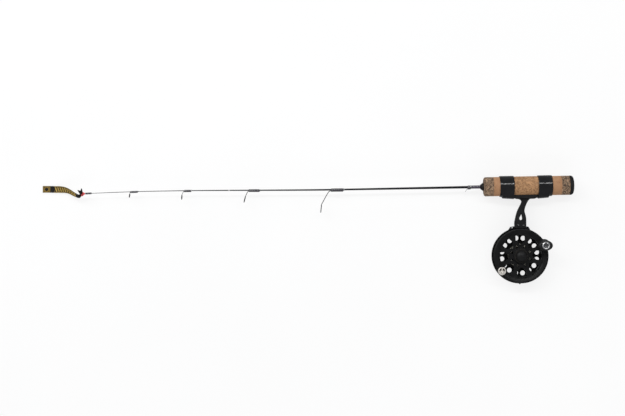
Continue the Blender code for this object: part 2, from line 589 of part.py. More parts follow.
def make_guide(number, x0, x1, ring_at, outside, wire_radius, lean):
    name = f"guide_{number}"
    drop = blank_radius((x0 + x1) / 2) + wire_radius + 0.08
    reach, turn = outside / 2 - wire_radius, math.radians(lean)
    top = (ring_at[0] - reach * math.sin(turn), ring_at[1] + reach * math.cos(turn), ROD_Z)
    root = rod_point(x0 - 0.3, drop)
    knee = (root[0] - 0.28 * (root[0] - top[0]), root[1] - 0.12 * (root[1] - top[1]), ROD_Z)
    frame = to_mesh(wire(f"{name}_frame", [rod_point(x1 - 1.2, drop), rod_point(x0 + 0.8, drop),
                                           root, knee, top], wire_radius, CERAMIC))
    frame.data.materials.clear()
    frame.data.materials.append(BLACK_METAL)
    boolean(frame, torus(f"{name}_ring", ring_at, outside, wire_radius, lean), "UNION")
    ring_insert(f"{name}_insert", ring_at, outside, wire_radius, lean)
    shift = wire_radius + 0.04
    inner = blank_radius(x0) * 0.5 + blank_radius(x1) * 0.5 + shift + 0.16
    sleeve(f"{name}_wrap", x0, x1, inner, inner + WRAP_THICKNESS, THREAD, drop=shift)
    bare = blank_radius(x1) + 0.12
    sleeve(f"{name}_trim", x1 + 0.15, x1 + 0.15 + TRIM_LENGTH, bare, bare + TRIM_THICKNESS, STEEL,
           steps=12)


def make_keeper():
    drop = blank_radius(-62.0) + 0.45
    foot = ROD_Y - drop
    leg = [(-60.8, 0.0, 0.45), (-63.9, 0.0, 0.5), (-64.9, 0.8, 1.2), (-66.0, 2.4, 1.25),
           (-66.7, 3.3, 0.7)]
    keys = [(x, foot - down, ROD_Z - side) for x, down, side in leg]
    keys += [(x, foot - down, ROD_Z + side) for x, down, side in reversed(leg)]
    path = smooth_path(keys, 2)
    wire("hook_keeper", path, 0.28, STEEL)
    inner = blank_radius(-62.0) + 0.58
    sleeve("keeper_wrap", *KEEPER_WRAP, inner, inner + WRAP_THICKNESS, THREAD, drop=0.4, steps=16)
    bare = blank_radius(-60.0) + 0.12
    sleeve("keeper_trim", KEEPER_WRAP[1] + 0.15, GRIP_WRAP[0] - 0.15, bare, bare + 0.6, STEEL)
    sleeve("grip_wrap", *GRIP_WRAP, bare, bare + 0.32, THREAD, steps=16)


def make_tip_top():
    y = ROD_Y + bow(TIP_X)
    slope = bow_slope(TIP_X + 3)
    tube = turned("tip_top_frame", [
        (0, TIP_X - 0.5), (TIP_BORE_R, TIP_X - 0.5), (TIP_BORE_R, TIP_TUBE_X1),
        (TIP_TUBE_R, TIP_TUBE_X1), (TIP_TUBE_R, TIP_TUBE_X0), (0, TIP_TUBE_X0)], RED_PAINT, 14,
        at=(0, y - slope * TIP_X, ROD_Z), turn=(0, math.pi / 2, slope))
    x, ring_y = TIP_RING_AT
    reach, behind = TIP_RING_OD / 2 - TIP_WIRE_R, x + 0.75
    wedge = [(TIP_TUBE_X0 + 0.8, y + 0.5), (behind + 0.4, ring_y + reach - 0.1),
             (x, ring_y + reach + 0.15), (x, ring_y + reach - 0.15), (behind, ring_y + reach - 0.5),
             (behind, ring_y - reach + 0.5), (x, ring_y - reach + 0.15), (x, ring_y - reach - 0.15),
             (behind + 0.4, ring_y - reach + 0.1), (TIP_TUBE_X0 + 0.8, y - 0.5)]
    boolean(tube, to_mesh(plate("tip_wedge", [wedge], ROD_Z - 0.4, ROD_Z + 0.4)), "UNION")
    boolean(tube, torus("tip_ring_wire", TIP_RING_AT, TIP_RING_OD, TIP_WIRE_R, 0.0), "UNION")
    ring_insert("tip_top_ring", TIP_RING_AT, TIP_RING_OD, TIP_WIRE_R, 0.0)
    sleeve("tip_top_wrap", TIP_TUBE_X0 + 0.8, TIP_TUBE_X1 + 2.0, TIP_TUBE_R + 0.12,
           TIP_TUBE_R + 0.42, THREAD, steps=14)


def make_ribbon():
    """A narrow ribbon: flat on the floor at its far end, through the tip ring, then a short tail.

    Each key is x, y, z, half width, and the width's direction as a turn from +Y to +Z and
    a turn from +Y to +X, both in degrees.
    """
    keys = [
        (-597.1, 94.6, 0.7, 4.2, 0, 0), (-587.8, 94.4, 0.7, 4.2, 0, 0),
        (-581.4, 94.1, 0.8, 4.2, 2, 0), (-574.9, 93.9, 1.9, 4.2, 8, 4),
        (-568.1, 92.7, 4.0, 4.1, 20, 15), (-562.5, 90.7, 6.4, 3.6, 30, 25),
        (-557.5, 88.0, 8.9, 2.8, 30, 30), (-552.6, 85.5, 11.2, 2.1, 18, 15),
        (-549.6, 84.9, 12.5, 1.6, 5, -10), (-547.9, 86.3, 13.5, 1.15, 0, -25),
        (-546.3, 87.6, 14.2, 0.85, 0, 0), (-545.2, 87.7, 15.1, 0.9, -5, 0),
        (-544.8, 88.2, 16.7, 1.3, 0, 45), (-545.7, 90.0, 17.6, 2.0, 0, 85),
        (-547.9, 93.0, 17.2, 2.6, 0, 95),
    ]
    path = smooth_path(keys, 3)
    sections = []
    for i, (x, y, z, half, roll, yaw) in enumerate(path):
        here = Vector((x, y, z))
        after, before = path[min(i + 1, len(path) - 1)][:3], path[max(i - 1, 0)][:3]
        forward = (Vector(after) - Vector(before)).normalized()
        roll, yaw = math.radians(roll), math.radians(yaw)
        across = Vector((math.sin(yaw), math.cos(yaw) * math.cos(roll), math.sin(roll)))
        across = (across - forward * across.dot(forward)).normalized()
        up = forward.cross(across).normalized() * (RIBBON_THICKNESS / 2)
        side = across * half
        sections.append([here - side - up, here + side - up, here + side + up, here - side + up])
    loft("gift_ribbon", sections, SATIN)


def main():
    make_blank()
    make_handle()
    make_band("band_front", *BAND_FRONT, FOOT_X0)
    make_band("band_rear", *BAND_REAR, FOOT_X1)
    make_foot()
    make_housing()
    make_spool(pivot("spool_axis", (0, 0, 0)))
    make_knobs()
    for number, guide in enumerate(GUIDES, 1):
        make_guide(number, *guide)
    make_keeper()
    make_tip_top()
    make_ribbon()


main()
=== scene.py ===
"""Looks of the ice fishing rod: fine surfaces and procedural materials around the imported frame.

Lengths in the constants are millimetres in the part's own frame: +X towards the butt, +Y from
the reel to the rod and +Z the spool's axis. MM turns them into metres.
"""

import math

import bmesh
import bpy
from mathutils import Euler, Matrix, Vector


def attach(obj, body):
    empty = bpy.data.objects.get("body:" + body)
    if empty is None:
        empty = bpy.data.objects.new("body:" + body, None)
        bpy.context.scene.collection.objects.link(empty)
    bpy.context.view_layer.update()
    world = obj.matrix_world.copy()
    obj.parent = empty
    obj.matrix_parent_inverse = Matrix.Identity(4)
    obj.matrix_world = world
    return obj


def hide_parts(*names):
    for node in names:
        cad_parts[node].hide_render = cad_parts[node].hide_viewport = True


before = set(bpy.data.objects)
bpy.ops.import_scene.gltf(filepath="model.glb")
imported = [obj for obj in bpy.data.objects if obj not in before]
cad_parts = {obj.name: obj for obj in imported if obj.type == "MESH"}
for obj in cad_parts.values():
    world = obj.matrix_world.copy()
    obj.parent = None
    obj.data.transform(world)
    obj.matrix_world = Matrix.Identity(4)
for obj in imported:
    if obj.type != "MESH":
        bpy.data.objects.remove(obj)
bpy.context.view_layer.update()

MM = 0.001
ROD, SPOOL = "rod", "spool_assembly"
KNOB_BODY, DRAG_BODY = "crank_knob_body", "drag_knob_body"

# The rod's axis, the blank's radius at stations along X from the grip to the tip, and its bow.
ROD_Y, ROD_Z = 86.9, 13.3
AXIS = (0, ROD_Y, ROD_Z)
BLANK_BUTT_X, BLANK_STEPS = 62.0, 150
BLANK_STATIONS = ((-48.0, 1.6), (-350.0, 0.72), (-436.0, 0.48), (-541.0, 0.33))
BOW_HEIGHT, BOW_PEAK_X, BOW_TO_BUTT, BOW_TO_TIP = 2.5, -455.0, 250.0, 165.0

# Grip, foot and the bands' fit over them.
CORK_R, BORE_R = 12.0, 1.8
BAND_IN_R, BAND_WALL, BAND_LIP_THINNER = 12.12, 0.95, 0.3
FOOT_X0, FOOT_X1, FOOT_HALF, TOE_R, TOE_RAMP = -20.3, 36.0, 5.8, 13.9, 13.6

# Reel: pieces off the spool's axis, and the star of bars on its face.
STEM_SCREWS = ((-1.4, 37.9), (4.6, 37.8))
KNOB_AT, WEIGHT_AT, PIN_AT = (28.5, 12.7), (-24.5, -18.3), (-9.35, 35.2)
ARM_REACH, ARM_HALF, WINDOW_OUT_R, WEB_PHASE = 7.6, 1.9, 26.0, 1.6
PORTS, PORT_RING_R, PORT_R, PORT_PHASE = 16, 22.2, 3.07, 9.5
DIMPLES, DIMPLE_RING_R, DIMPLE_R = 18, 27.4, 0.85

# Line guides: wrap from and to, ring centre, ring outside diameter, wire radius, lean in degrees.
GUIDES = (
    (-234.8, -219.5, (-247.5, 63.9), 11.0, 0.45, -7.0),
    (-337.6, -323.9, (-342.7, 77.2), 8.9, 0.40, -15.0),
    (-418.3, -409.6, (-421.3, 81.3), 6.7, 0.33, -4.0),
    (-485.7, -476.4, (-486.5, 84.6), 5.6, 0.28, -10.0),
)
TIP_TUBE_X0, TIP_TUBE_X1, TIP_RING_AT, TIP_RING_OD, TIP_WIRE_R = (
    -542.8, -536.0, (-546.2, 87.6), 6.2, 0.35)
KEEPER_X, KEEPER_DROP = -62.0, 0.45

# Ribbon: centre line, half width, roll and yaw in degrees from the square end to the cut tail.
RIBBON_KEYS = (
    (-597.1, 94.6, 0.7, 4.2, 0, 0), (-587.8, 94.4, 0.7, 4.2, 0, 0),
    (-581.4, 94.1, 0.8, 4.2, 2, 0), (-574.9, 93.9, 1.9, 4.2, 8, 4),
    (-568.1, 93.1, 4.0, 3.8, 20, 15), (-562.5, 91.1, 6.4, 3.3, 30, 25),
    (-557.5, 88.2, 8.9, 2.8, 30, 30), (-552.6, 85.7, 11.2, 2.4, 18, 15),
    (-549.6, 84.9, 12.5, 2.2, 5, -10), (-547.9, 86.3, 13.5, 1.5, 0, -25),
    (-546.3, 87.6, 14.2, 0.95, 0, 0), (-545.9, 87.7, 15.1, 1.1, -5, 0),
    (-545.9, 88.2, 16.4, 1.6, 0, 45), (-546.6, 89.5, 17.3, 2.3, 0, 80),
    (-547.5, 91.7, 17.2, 2.9, 0, 92),
)
RIBBON_HALF, CLOTH_THICK = 4.2, 0.16
FLAT_ROWS, TAIL_ROWS, TAIL_CUT = 12, 13, 2.5

# Stage in metres: the floor, the lamps (place, size, watts, seen in gloss) and the camera.
FLOOR_HALF, FLOOR_DROP, FLOOR_GLOW = 6.0, 0.0002, 0.80
LAMP_AIM = (-0.2, 0.06, 0.0)
LAMPS = {
    "strip": ((-0.15, 0.95, 1.65), (2.2, 0.10), 15, True),
    "above_left": ((-1.3, 0.9, 1.2), (0.9, 0.9), 12, True),
    "near_side": ((-0.2, -1.5, 0.9), (2.4, 0.8), 14, False),
    "far_side": ((-0.2, 1.7, 0.6), (2.4, 0.5), 9, False),
    "right": ((1.6, 0.0, 0.9), (0.8, 1.4), 8, False),
}
SKY, SKY_POWER = (0.95, 0.97, 1.0, 1.0), 0.30
CAMERA_AT, CAMERA_ROLL, CAMERA_LENS, CAMERA_SENSOR = (-0.2583, 0.0646, 1.8833), -1.1, 86.2, 36.0


# ---- Materials ----

# Scale times pitch of a wave texture with one band to each turn, and the thread's pitch.
WAVE_LENGTH, THREAD_PITCH = 0.314, 0.16


class Graph:
    """A material and short names for the nodes that colour it; lengths are in millimetres."""

    def __init__(self, name, colour=(0.5, 0.5, 0.5), rough=0.5, metal=0.0, **sockets):
        self.mat = bpy.data.materials.new(name)
        self.mat.use_nodes = True
        self.tree = self.mat.node_tree
        self.shader = self.tree.nodes["Principled BSDF"]
        self.set("Base Color", (*colour, 1.0))
        self.set("Roughness", rough)
        self.set("Metallic", metal)
        for label, value in sockets.items():
            self.set(label.replace("_", " "), value)

    def set(self, label, value):
        socket = self.shader.inputs[label]
        if isinstance(value, bpy.types.NodeSocket):
            self.tree.links.new(value, socket)
        else:
            socket.default_value = value

    def node(self, kind, inputs=(), out=0, **settings):
        made = self.tree.nodes.new(kind)
        for key, value in settings.items():
            setattr(made, key, value)
        for key, value in dict(inputs).items():
            if isinstance(value, bpy.types.NodeSocket):
                self.tree.links.new(value, made.inputs[key])
            else:
                made.inputs[key].default_value = value
        return made.outputs[out]

    def place(self, scale=(1, 1, 1)):
        """Coordinates in the part's frame in millimetres, stretched by scale."""
        where = self.node("ShaderNodeTexCoord", out="Object")
        return self.node("ShaderNodeMapping",
                         {"Vector": where, "Scale": [s / MM for s in scale]})

    def noise(self, at, scale, detail=3.0, rough=0.5, warp=0.0, out="Factor"):
        return self.node("ShaderNodeTexNoise", {
            "Vector": at, "Scale": scale, "Detail": detail, "Roughness": rough,
            "Distortion": warp}, out=1 if out == "Color" else 0)

    def cells(self, at, scale, out="Distance", feature="F1"):
        return self.node("ShaderNodeTexVoronoi", {"Vector": at, "Scale": scale}, out=out,
                         feature=feature)

    def bands(self, at, scale, axis):
        return self.node("ShaderNodeTexWave", {"Vector": at, "Scale": scale},
                         bands_direction=axis, out=1)

    def ramp(self, factor, *stops):
        made = self.tree.nodes.new("ShaderNodeValToRGB")
        self.tree.links.new(factor, made.inputs[0])
        items = made.color_ramp.elements
        while len(items) < len(stops):
            items.new(0.5)
        for item, (place, value) in zip(items, stops):
            item.position = place
            item.color = (*value, 1.0) if hasattr(value, "__len__") else (value,) * 3 + (1.0,)
        return made.outputs[0]

    def mix(self, factor, a, b, blend="MIX"):
        made = self.tree.nodes.new("ShaderNodeMix")
        made.data_type = "RGBA"
        made.blend_type = blend
        for key, value in ((0, factor), (6, a), (7, b)):
            if isinstance(value, bpy.types.NodeSocket):
                self.tree.links.new(value, made.inputs[key])
            else:
                made.inputs[key].default_value = value if key == 0 else (*value, 1.0)
        return made.outputs[2]

    def math(self, operation, a, b=0.0, clamp=False):
        made = self.node("ShaderNodeMath", {0: a, 1: b}, operation=operation)
        made.node.use_clamp = clamp
        return made

    def axis(self, at, index):
        return self.node("ShaderNodeSeparateXYZ", {0: at}, out=index)

    def vector(self, operation, a, b):
        return self.node("ShaderNodeVectorMath", {0: a, 1: b}, operation=operation)

    def reach(self, at):
        """Distance from the Z axis."""
        flat = self.vector("MULTIPLY", at, (1.0, 1.0, 0.0))
        return self.node("ShaderNodeVectorMath", {0: flat}, out=1, operation="LENGTH")

    def base(self):
        """What colours the shader so far."""
        return self.shader.inputs["Base Color"].links[0].from_socket

    def between(self, value, low, high, soft):
        """1 where value lies from low to high, with soft edges."""
        up = self.range(value, low - soft, low + soft)
        return self.math("MULTIPLY", up, self.range(value, high - soft, high + soft, 1.0, 0.0))

    def range(self, value, low, high, to_low=0.0, to_high=1.0):
        return self.node("ShaderNodeMapRange", {0: value, 1: low, 2: high, 3: to_low, 4: to_high})

    def mottle(self, cloud, low, high):
        """Base colour clouded from low to high."""
        self.set("Base Color", self.ramp(cloud, (0.3, low), (0.7, high)))

    def polish(self, cloud, low, high):
        """Roughness clouded from low to high."""
        self.set("Roughness", self.range(cloud, 0.3, 0.7, low, high))

    def bump(self, height, depth, strength):
        """depth is the bump's height in millimetres."""
        last = self.shader.inputs["Normal"].links
        inputs = {"Height": height, "Strength": strength, "Distance": depth * MM}
        if last:
            inputs["Normal"] = last[0].from_socket
        self.set("Normal", self.node("ShaderNodeBump", inputs))


def cork(name, light, dark, grain, agglomerate):
    """Natural cork: soft mottling, glued grains, dark pores and short bark streaks."""
    g = Graph(name, rough=0.82, Specular_IOR_Level=0.25)
    at = g.place()
    warped = g.vector("ADD", at, g.noise(at, 0.5, 2.0, out="Color"))
    tone = g.noise(at, grain, 5.0, 0.62, 0.15)
    colour = g.ramp(tone, (0.3, dark), (0.52, [(a + b) / 2 for a, b in zip(light, dark)]),
                    (0.72, light))
    if agglomerate:
        tint = g.cells(warped, 0.72, out="Color")
        grains = g.ramp(g.axis(tint, 0), (0.0, (0.50, 0.44, 0.38)), (0.5, (1.0, 1.0, 1.0)),
                        (1.0, (1.42, 1.38, 1.30)))
        colour = g.mix(0.75, colour, grains, "MULTIPLY")
        edge = g.range(g.cells(warped, 0.72, feature="DISTANCE_TO_EDGE"), 0.0, 0.08, 0.7, 1.0)
        colour = g.mix(1.0, colour, edge, "MULTIPLY")
    pore = g.range(g.cells(g.place((0.35, 1.1, 1.1)), 0.9), 0.1, 0.17)
    pore = g.math("MAXIMUM", pore, g.range(g.noise(at, 0.33, 1.0), 0.5, 0.56))
    fleck = g.range(g.noise(g.place((0.5, 1.5, 1.5)), 2.2, 2.0, 0.6), 0.66, 0.72)
    colour = g.mix(pore, (0.07, 0.032, 0.014), colour)
    colour = g.mix(g.math("MULTIPLY", fleck, 0.55), colour, (0.09, 0.045, 0.02))
    g.set("Base Color", colour)
    g.polish(tone, 0.88, 0.7)
    g.bump(g.noise(at, 3.2, 4.0, 0.6), 0.12, 0.5)
    g.bump(pore, 0.35, 0.8)
    return g.mat


def burl_cork():
    """Composite cork: pale and black chips pressed together."""
    g = Graph("burl_cork", rough=0.8, Specular_IOR_Level=0.25)
    at = g.place()
    warp = g.node("ShaderNodeVectorMath", {0: g.noise(at, 1.1, 2.0, out="Color"), 3: 2.0},
                  operation="SCALE")
    warped = g.vector("ADD", at, warp)
    chip = g.axis(g.cells(warped, 1.05, out="Color"), 0)
    colour = g.ramp(chip, (0.0, (0.040, 0.032, 0.026)), (0.24, (0.075, 0.052, 0.038)),
                    (0.32, (0.17, 0.108, 0.068)), (0.55, (0.24, 0.150, 0.092)),
                    (0.72, (0.33, 0.215, 0.135)), (1.0, (0.43, 0.30, 0.195)))
    colour = g.mix(0.5, colour, g.ramp(g.noise(at, 1.6, 4.0, 0.65), (0.3, 0.45), (0.7, 1.35)),
                   "MULTIPLY")
    edge = g.range(g.cells(warped, 1.05, feature="DISTANCE_TO_EDGE"), 0.0, 0.10)
    colour = g.mix(g.math("ADD", edge, 0.35, True), (0.045, 0.03, 0.02), colour)
    g.set("Base Color", colour)
    g.bump(g.noise(at, 3.0, 4.0, 0.6), 0.12, 0.5)
    g.bump(edge, 0.15, 0.6)
    return g.mat


def black_metal(name, tone, rough, shine=0.16):
    """Black anodised or painted metal with a fine satin grain."""
    g = Graph(name, (tone,) * 3, rough, 0.0, Specular_IOR_Level=shine)
    at = g.place()
    g.mottle(g.noise(at, 0.16, 3.0, 0.6), (tone * 0.75, tone * 0.75, tone * 0.78),
             (tone * 1.3, tone * 1.3, tone * 1.36))
    g.polish(g.noise(at, 0.5, 4.0, 0.6), rough - 0.07, rough + 0.09)
    g.bump(g.noise(at, 9.0, 2.0, 0.6), 0.02, 0.6)
    return g


def hub_bright(g, radius_in, radius_out, low, high, colour):
    """Bare machined metal on a round band about the spool's axis."""
    at = g.place()
    mask = g.math("MULTIPLY", g.between(g.reach(at), radius_in, radius_out, 0.12),
                  g.between(g.axis(at, 2), low, high, 0.1))
    g.set("Base Color", g.mix(mask, g.base(), colour))
    g.set("Metallic", g.math("MULTIPLY", mask, 0.4))


def rubber(name, tone, rough, grain=0.05, shine=0.2):
    """Soft black rubber or moulded plastic with a fine grain."""
    g = Graph(name, (tone,) * 3, rough, Specular_IOR_Level=shine)
    at = g.place()
    g.mottle(g.noise(at, 0.3), tone * 0.8, (tone * 1.25, tone * 1.25, tone * 1.3))
    g.polish(g.noise(at, 0.8), rough - 0.06, rough + 0.08)
    g.bump(g.noise(at, 5.0, 3.0, 0.6), grain, 0.6)
    return g.mat


def band_vinyl():
    """Stretched glossy sleeve: smooth, with long shallow ripples pulled around the grip."""
    g = Graph("band_vinyl", (0.006, 0.006, 0.0065), 0.13, Specular_IOR_Level=0.45)
    at = g.place()
    g.mottle(g.noise(at, 0.12, 2.0), (0.004, 0.004, 0.0045), (0.007, 0.007, 0.008))
    g.set("Roughness", g.range(g.noise(at, 0.7, 4.0, 0.65), 0.35, 0.7, 0.09, 0.24))
    g.bump(g.noise(g.place((0.5, 0.12, 0.12)), 0.9, 2.0, 0.5), 0.10, 0.55)
    g.bump(g.noise(at, 1.6, 2.0), 0.03, 0.35)
    return g.mat


def steel(name, tone=0.62, rough=0.2, dark_inside=None):
    """Bright steel with smudges; dark_inside is the centre and radius of a darker middle."""
    g = Graph(name, (tone, tone, tone * 0.98), rough, 1.0)
    at = g.place()
    g.mottle(g.noise(at, 0.6), tone * 0.82, tone * 1.1)
    g.polish(g.noise(at, 1.1, 4.0, 0.6), rough * 0.7, rough * 1.5)
    if dark_inside:
        centre, radius = dark_inside
        away = g.reach(g.vector("SUBTRACT", at, (*centre, 0.0)))
        mask = g.range(away, radius - 0.08, radius + 0.08)
        g.set("Base Color", g.mix(mask, (0.15, 0.15, 0.155), g.base()))
    g.bump(g.noise(at, 6.0, 2.0), 0.01, 0.5)
    return g.mat


def weight_steel():
    """Warm polished steel with two dark arcs beside the screw's slot, on the disc's +Y side."""
    g = Graph("weight_steel", (0.80, 0.76, 0.70), 0.28, 0.7)
    at = g.vector("SUBTRACT", g.place(), (*WEIGHT_AT, 0.0))
    across, along = g.math("ABSOLUTE", g.axis(at, 0)), g.axis(at, 1)
    arcs = g.math("MULTIPLY", g.between(g.reach(at), 1.4, 3.7, 0.4), g.range(along, -0.1, 0.6))
    arcs = g.math("MULTIPLY", arcs, g.range(across, 0.4, 0.8))
    blot = g.ramp(g.noise(g.place(), 0.7), (0.3, (0.80, 0.75, 0.69)),
                  (0.7, (0.98, 0.94, 0.87)))
    g.set("Base Color", g.mix(arcs, blot, (0.035, 0.028, 0.022)))
    g.polish(g.noise(g.place(), 1.1, 4.0, 0.6), 0.2, 0.4)
    return g.mat


def blank_paint():
    """Dark satin glass-fibre blank, paler and greyer towards the tip, with one pale ring."""
    g = Graph("blank_paint", rough=0.42, Specular_IOR_Level=0.08)
    at = g.place()
    along = g.axis(at, 0)
    tone = g.range(along, -520.0, -80.0)
    colour = g.ramp(tone, (0.0, (0.060, 0.060, 0.064)), (0.45, (0.028, 0.028, 0.031)),
                    (1.0, (0.012, 0.012, 0.014)))
    fibre = g.noise(g.place((0.06, 2.5, 2.5)), 1.4, 3.0, 0.6)
    colour = g.mix(0.35, colour, g.ramp(fibre, (0.35, 0.6), (0.65, 1.5)), "MULTIPLY")
    ring = g.between(along, -362.6, -361.6, 0.05)
    g.set("Base Color", g.mix(ring, colour, (0.62, 0.62, 0.60)))
    g.bump(fibre, 0.02, 0.4)
    return g.mat


def thread(name, colour, tint):
    """Turns of thread side by side under clear gloss epoxy, with painted shade in the grooves
    between turns.
    """
    g = Graph(name, colour, 0.35, Specular_IOR_Level=0.5, Coat_Weight=1.0, Coat_Roughness=0.05,
              Coat_IOR=1.55)
    at = g.place()
    turns = g.bands(at, WAVE_LENGTH / THREAD_PITCH, "X")
    # Painted shade: the colour falls to 0.45 of itself in the groove between neighbouring turns.
    dark = [c * 0.45 for c in colour]
    body = g.mix(g.range(turns, 0.15, 0.75), dark, colour)
    g.set("Base Color", g.mix(g.range(g.noise(at, 1.2), 0.4, 0.7, 0.0, 0.6), body, tint))
    g.bump(turns, 0.05, 0.5)
    return g.mat


def ceramic():
    """Polished near-black ceramic with faint clouds."""
    g = Graph("ring_ceramic", (0.02, 0.02, 0.021), 0.08, Specular_IOR_Level=0.7)
    at = g.place()
    g.mottle(g.noise(at, 1.2), (0.014, 0.014, 0.015), (0.034, 0.034, 0.036))
    g.polish(g.noise(at, 2.0), 0.05, 0.14)
    return g.mat


def red_paint():
    """Thick red paint, slightly uneven, under gloss."""
    g = Graph("red_paint", (0.55, 0.035, 0.045), 0.25, Coat_Weight=0.5, Coat_Roughness=0.08)
    at = g.place()
    g.mottle(g.noise(at, 0.9), (0.64, 0.060, 0.062), (0.80, 0.110, 0.110))
    g.bump(g.noise(at, 3.5), 0.03, 0.5)
    return g.mat


def satin_ribbon():
    """Woven black ribbon with a gold print: a crossed diamond, then slanted bars in edge lines."""
    g = Graph("ribbon_satin", rough=0.45, Sheen_Weight=0.04, Sheen_Roughness=0.35,
              Specular_IOR_Level=0.15)
    uv = g.node("ShaderNodeUVMap", uv_map="print")
    along, across = g.axis(uv, 0), g.axis(uv, 1)
    level = g.math("ABSOLUTE", across)
    # The square end panel with a dark frame, a dark diamond and dark diagonals.
    panel = g.between(along, 0.0, 9.4, 0.12)
    off = g.math("ABSOLUTE", g.math("SUBTRACT", along, 4.8))
    diamond = g.math("ADD", off, level)
    cross = g.range(g.math("ABSOLUTE", g.math("SUBTRACT", off, level)), 0.25, 0.5, 0.35, 1.0)
    inner = g.math("MULTIPLY", g.range(diamond, 2.4, 2.8), cross)
    line = g.math("SUBTRACT", 1.0, g.between(g.math("MAXIMUM", off, level), 3.25, 3.55, 0.1))
    square = g.math("MULTIPLY", g.math("MULTIPLY", panel, inner),
                    g.range(line, 0.0, 1.0, 0.45, 1.0))
    # Slanted bars between thin edge lines.
    slant = g.math("ADD", along, g.math("MULTIPLY", across, 0.35))
    bar = g.math("FRACT", g.math("DIVIDE", slant, 3.1))
    bars = g.between(bar, 0.12, 0.72, 0.05)
    field = g.math("MULTIPLY", g.between(along, 15.0, 46.5, 0.2),
                   g.math("SUBTRACT", 1.0, g.range(level, 2.55, 2.75)))
    edges = g.math("MULTIPLY", g.between(along, 14.2, 48.5, 0.2), g.between(level, 3.35, 3.9, 0.1))
    gold = g.math("MAXIMUM", square, g.math("MAXIMUM", g.math("MULTIPLY", bars, field), edges))
    warp, weft = g.bands(uv, 0.9, "Y"), g.bands(uv, 1.5, "X")
    worn = g.noise(g.place(), 1.1, 4.0, 0.6)
    metal = g.ramp(worn, (0.25, (0.26, 0.165, 0.035)), (0.55, (0.46, 0.315, 0.085)),
                   (0.8, (0.62, 0.46, 0.15)))
    metal = g.mix(0.25, metal, g.ramp(warp, (0.2, 0.55), (0.8, 1.2)), "MULTIPLY")
    metal = g.mix(panel, metal, (0.52, 0.50, 0.46), "MULTIPLY")
    cloth = g.ramp(weft, (0.2, (0.006, 0.006, 0.006)), (0.8, (0.016, 0.015, 0.014)))
    g.set("Base Color", g.mix(gold, cloth, metal))
    g.set("Metallic", g.math("MULTIPLY", gold, 0.35))
    g.set("Roughness", g.range(gold, 0.0, 1.0, 0.38, 0.44))
    g.bump(g.math("MULTIPLY", warp, weft), 0.04, 0.5)
    return g.mat


def bronze():
    """Sintered bronze of the bushes."""
    g = Graph("bearing_bronze", (0.45, 0.30, 0.13), 0.35, 1.0)
    g.polish(g.noise(g.place(), 3.0), 0.25, 0.5)
    g.bump(g.noise(g.place(), 8.0, 2.0), 0.02, 0.5)
    return g.mat


def fibre():
    """Pressed dark fibre of the drag washer."""
    g = Graph("drag_fibre", (0.02, 0.019, 0.018), 0.85, Specular_IOR_Level=0.2)
    g.mottle(g.noise(g.place(), 2.5, 4.0, 0.7), (0.012, 0.011, 0.010), (0.030, 0.027, 0.024))
    g.bump(g.noise(g.place(), 6.0), 0.05, 0.6)
    return g.mat


CORK_MID = cork("cork_mid", (0.44, 0.262, 0.140), (0.27, 0.142, 0.068), 0.9, True)
CORK_RING = cork("cork_ring", (0.41, 0.230, 0.125), (0.31, 0.162, 0.084), 0.14, False)
BURL = burl_cork()
FOOT_METAL = black_metal("foot_metal", 0.010, 0.40).mat
SPOOL_METAL = black_metal("spool_metal", 0.007, 0.38, shine=0.12).mat
housing = black_metal("housing_metal", 0.007, 0.45)
hub_bright(housing, 11.6, 14.8, 6.0, 12.8, (0.36, 0.35, 0.30))
PAN_METAL = housing.mat
GUIDE_METAL = black_metal("guide_metal", 0.02, 0.30, shine=0.25).mat
KNOB_RUBBER = rubber("knob_rubber", 0.010, 0.36, 0.05, 0.25)
DRAG_PLASTIC = rubber("drag_plastic", 0.008, 0.42, 0.03)
CAP_RUBBER = rubber("cap_rubber", 0.009, 0.5, 0.05)
BAND_VINYL = band_vinyl()
STEEL = steel("bright_steel")
DARK_STEEL = steel("dark_steel", 0.13, 0.35)
CAP_STEEL = steel("cap_steel", 0.80, 0.3, (KNOB_AT, 3.2))
WEIGHT_STEEL = weight_steel()
PIN_STEEL = steel("pin_steel", 0.85, 0.5)
BLANK = blank_paint()
WRAP_THREAD = thread("wrap_thread", (0.040, 0.037, 0.044), (0.065, 0.060, 0.072))
GRIP_THREAD = thread("grip_thread", (0.050, 0.038, 0.062), (0.085, 0.070, 0.100))
CERAMIC = ceramic()
RED = red_paint()
RIBBON = satin_ribbon()
BRONZE = bronze()
FIBRE = fibre()


# ---- Mesh helpers ----

def around(count):
    """Angles of equal steps round a circle."""
    return [2 * math.pi * i / count for i in range(count)]


def polar(radius, degrees):
    return radius * math.cos(math.radians(degrees)), radius * math.sin(math.radians(degrees))


def rectangle(x, y, half_x, half_y):
    return [(x - half_x, y - half_y), (x + half_x, y - half_y), (x + half_x, y + half_y),
            (x - half_x, y + half_y)]


def spaced(points, radius, closed=False, steps=3):
    """The outline with each corner rounded off by up to radius."""
    out, count = [], len(points)
    for i, point in enumerate(points):
        if not closed and i in (0, count - 1):
            out.append(tuple(point))
            continue
        here = Vector(point)
        before, after = Vector(points[i - 1]), Vector(points[(i + 1) % count])
        a = here + (before - here).normalized() * min(radius, (before - here).length * 0.45)
        b = here + (after - here).normalized() * min(radius, (after - here).length * 0.45)
        for k in range(steps + 1):
            t = k / steps
            out.append(tuple(a * (1 - t) ** 2 + here * 2 * t * (1 - t) + b * t * t))
    return out


def curve_through(keys, steps):
    """Points of a Catmull-Rom curve through tuples of any length."""
    out = []
    for i in range(len(keys) - 1):
        a, b, c, d = (keys[min(max(j, 0), len(keys) - 1)] for j in (i - 1, i, i + 1, i + 2))
        for k in range(steps):
            t = k / steps
            out.append(tuple(0.5 * (2 * q + (r - p) * t + (2 * p - 5 * q + 4 * r - s) * t * t
                                    + (3 * q - p - 3 * r + s) * t ** 3)
                             for p, q, r, s in zip(a, b, c, d)))
    out.append(tuple(keys[-1]))
    return out


def link(obj):
    bpy.context.scene.collection.objects.link(obj)


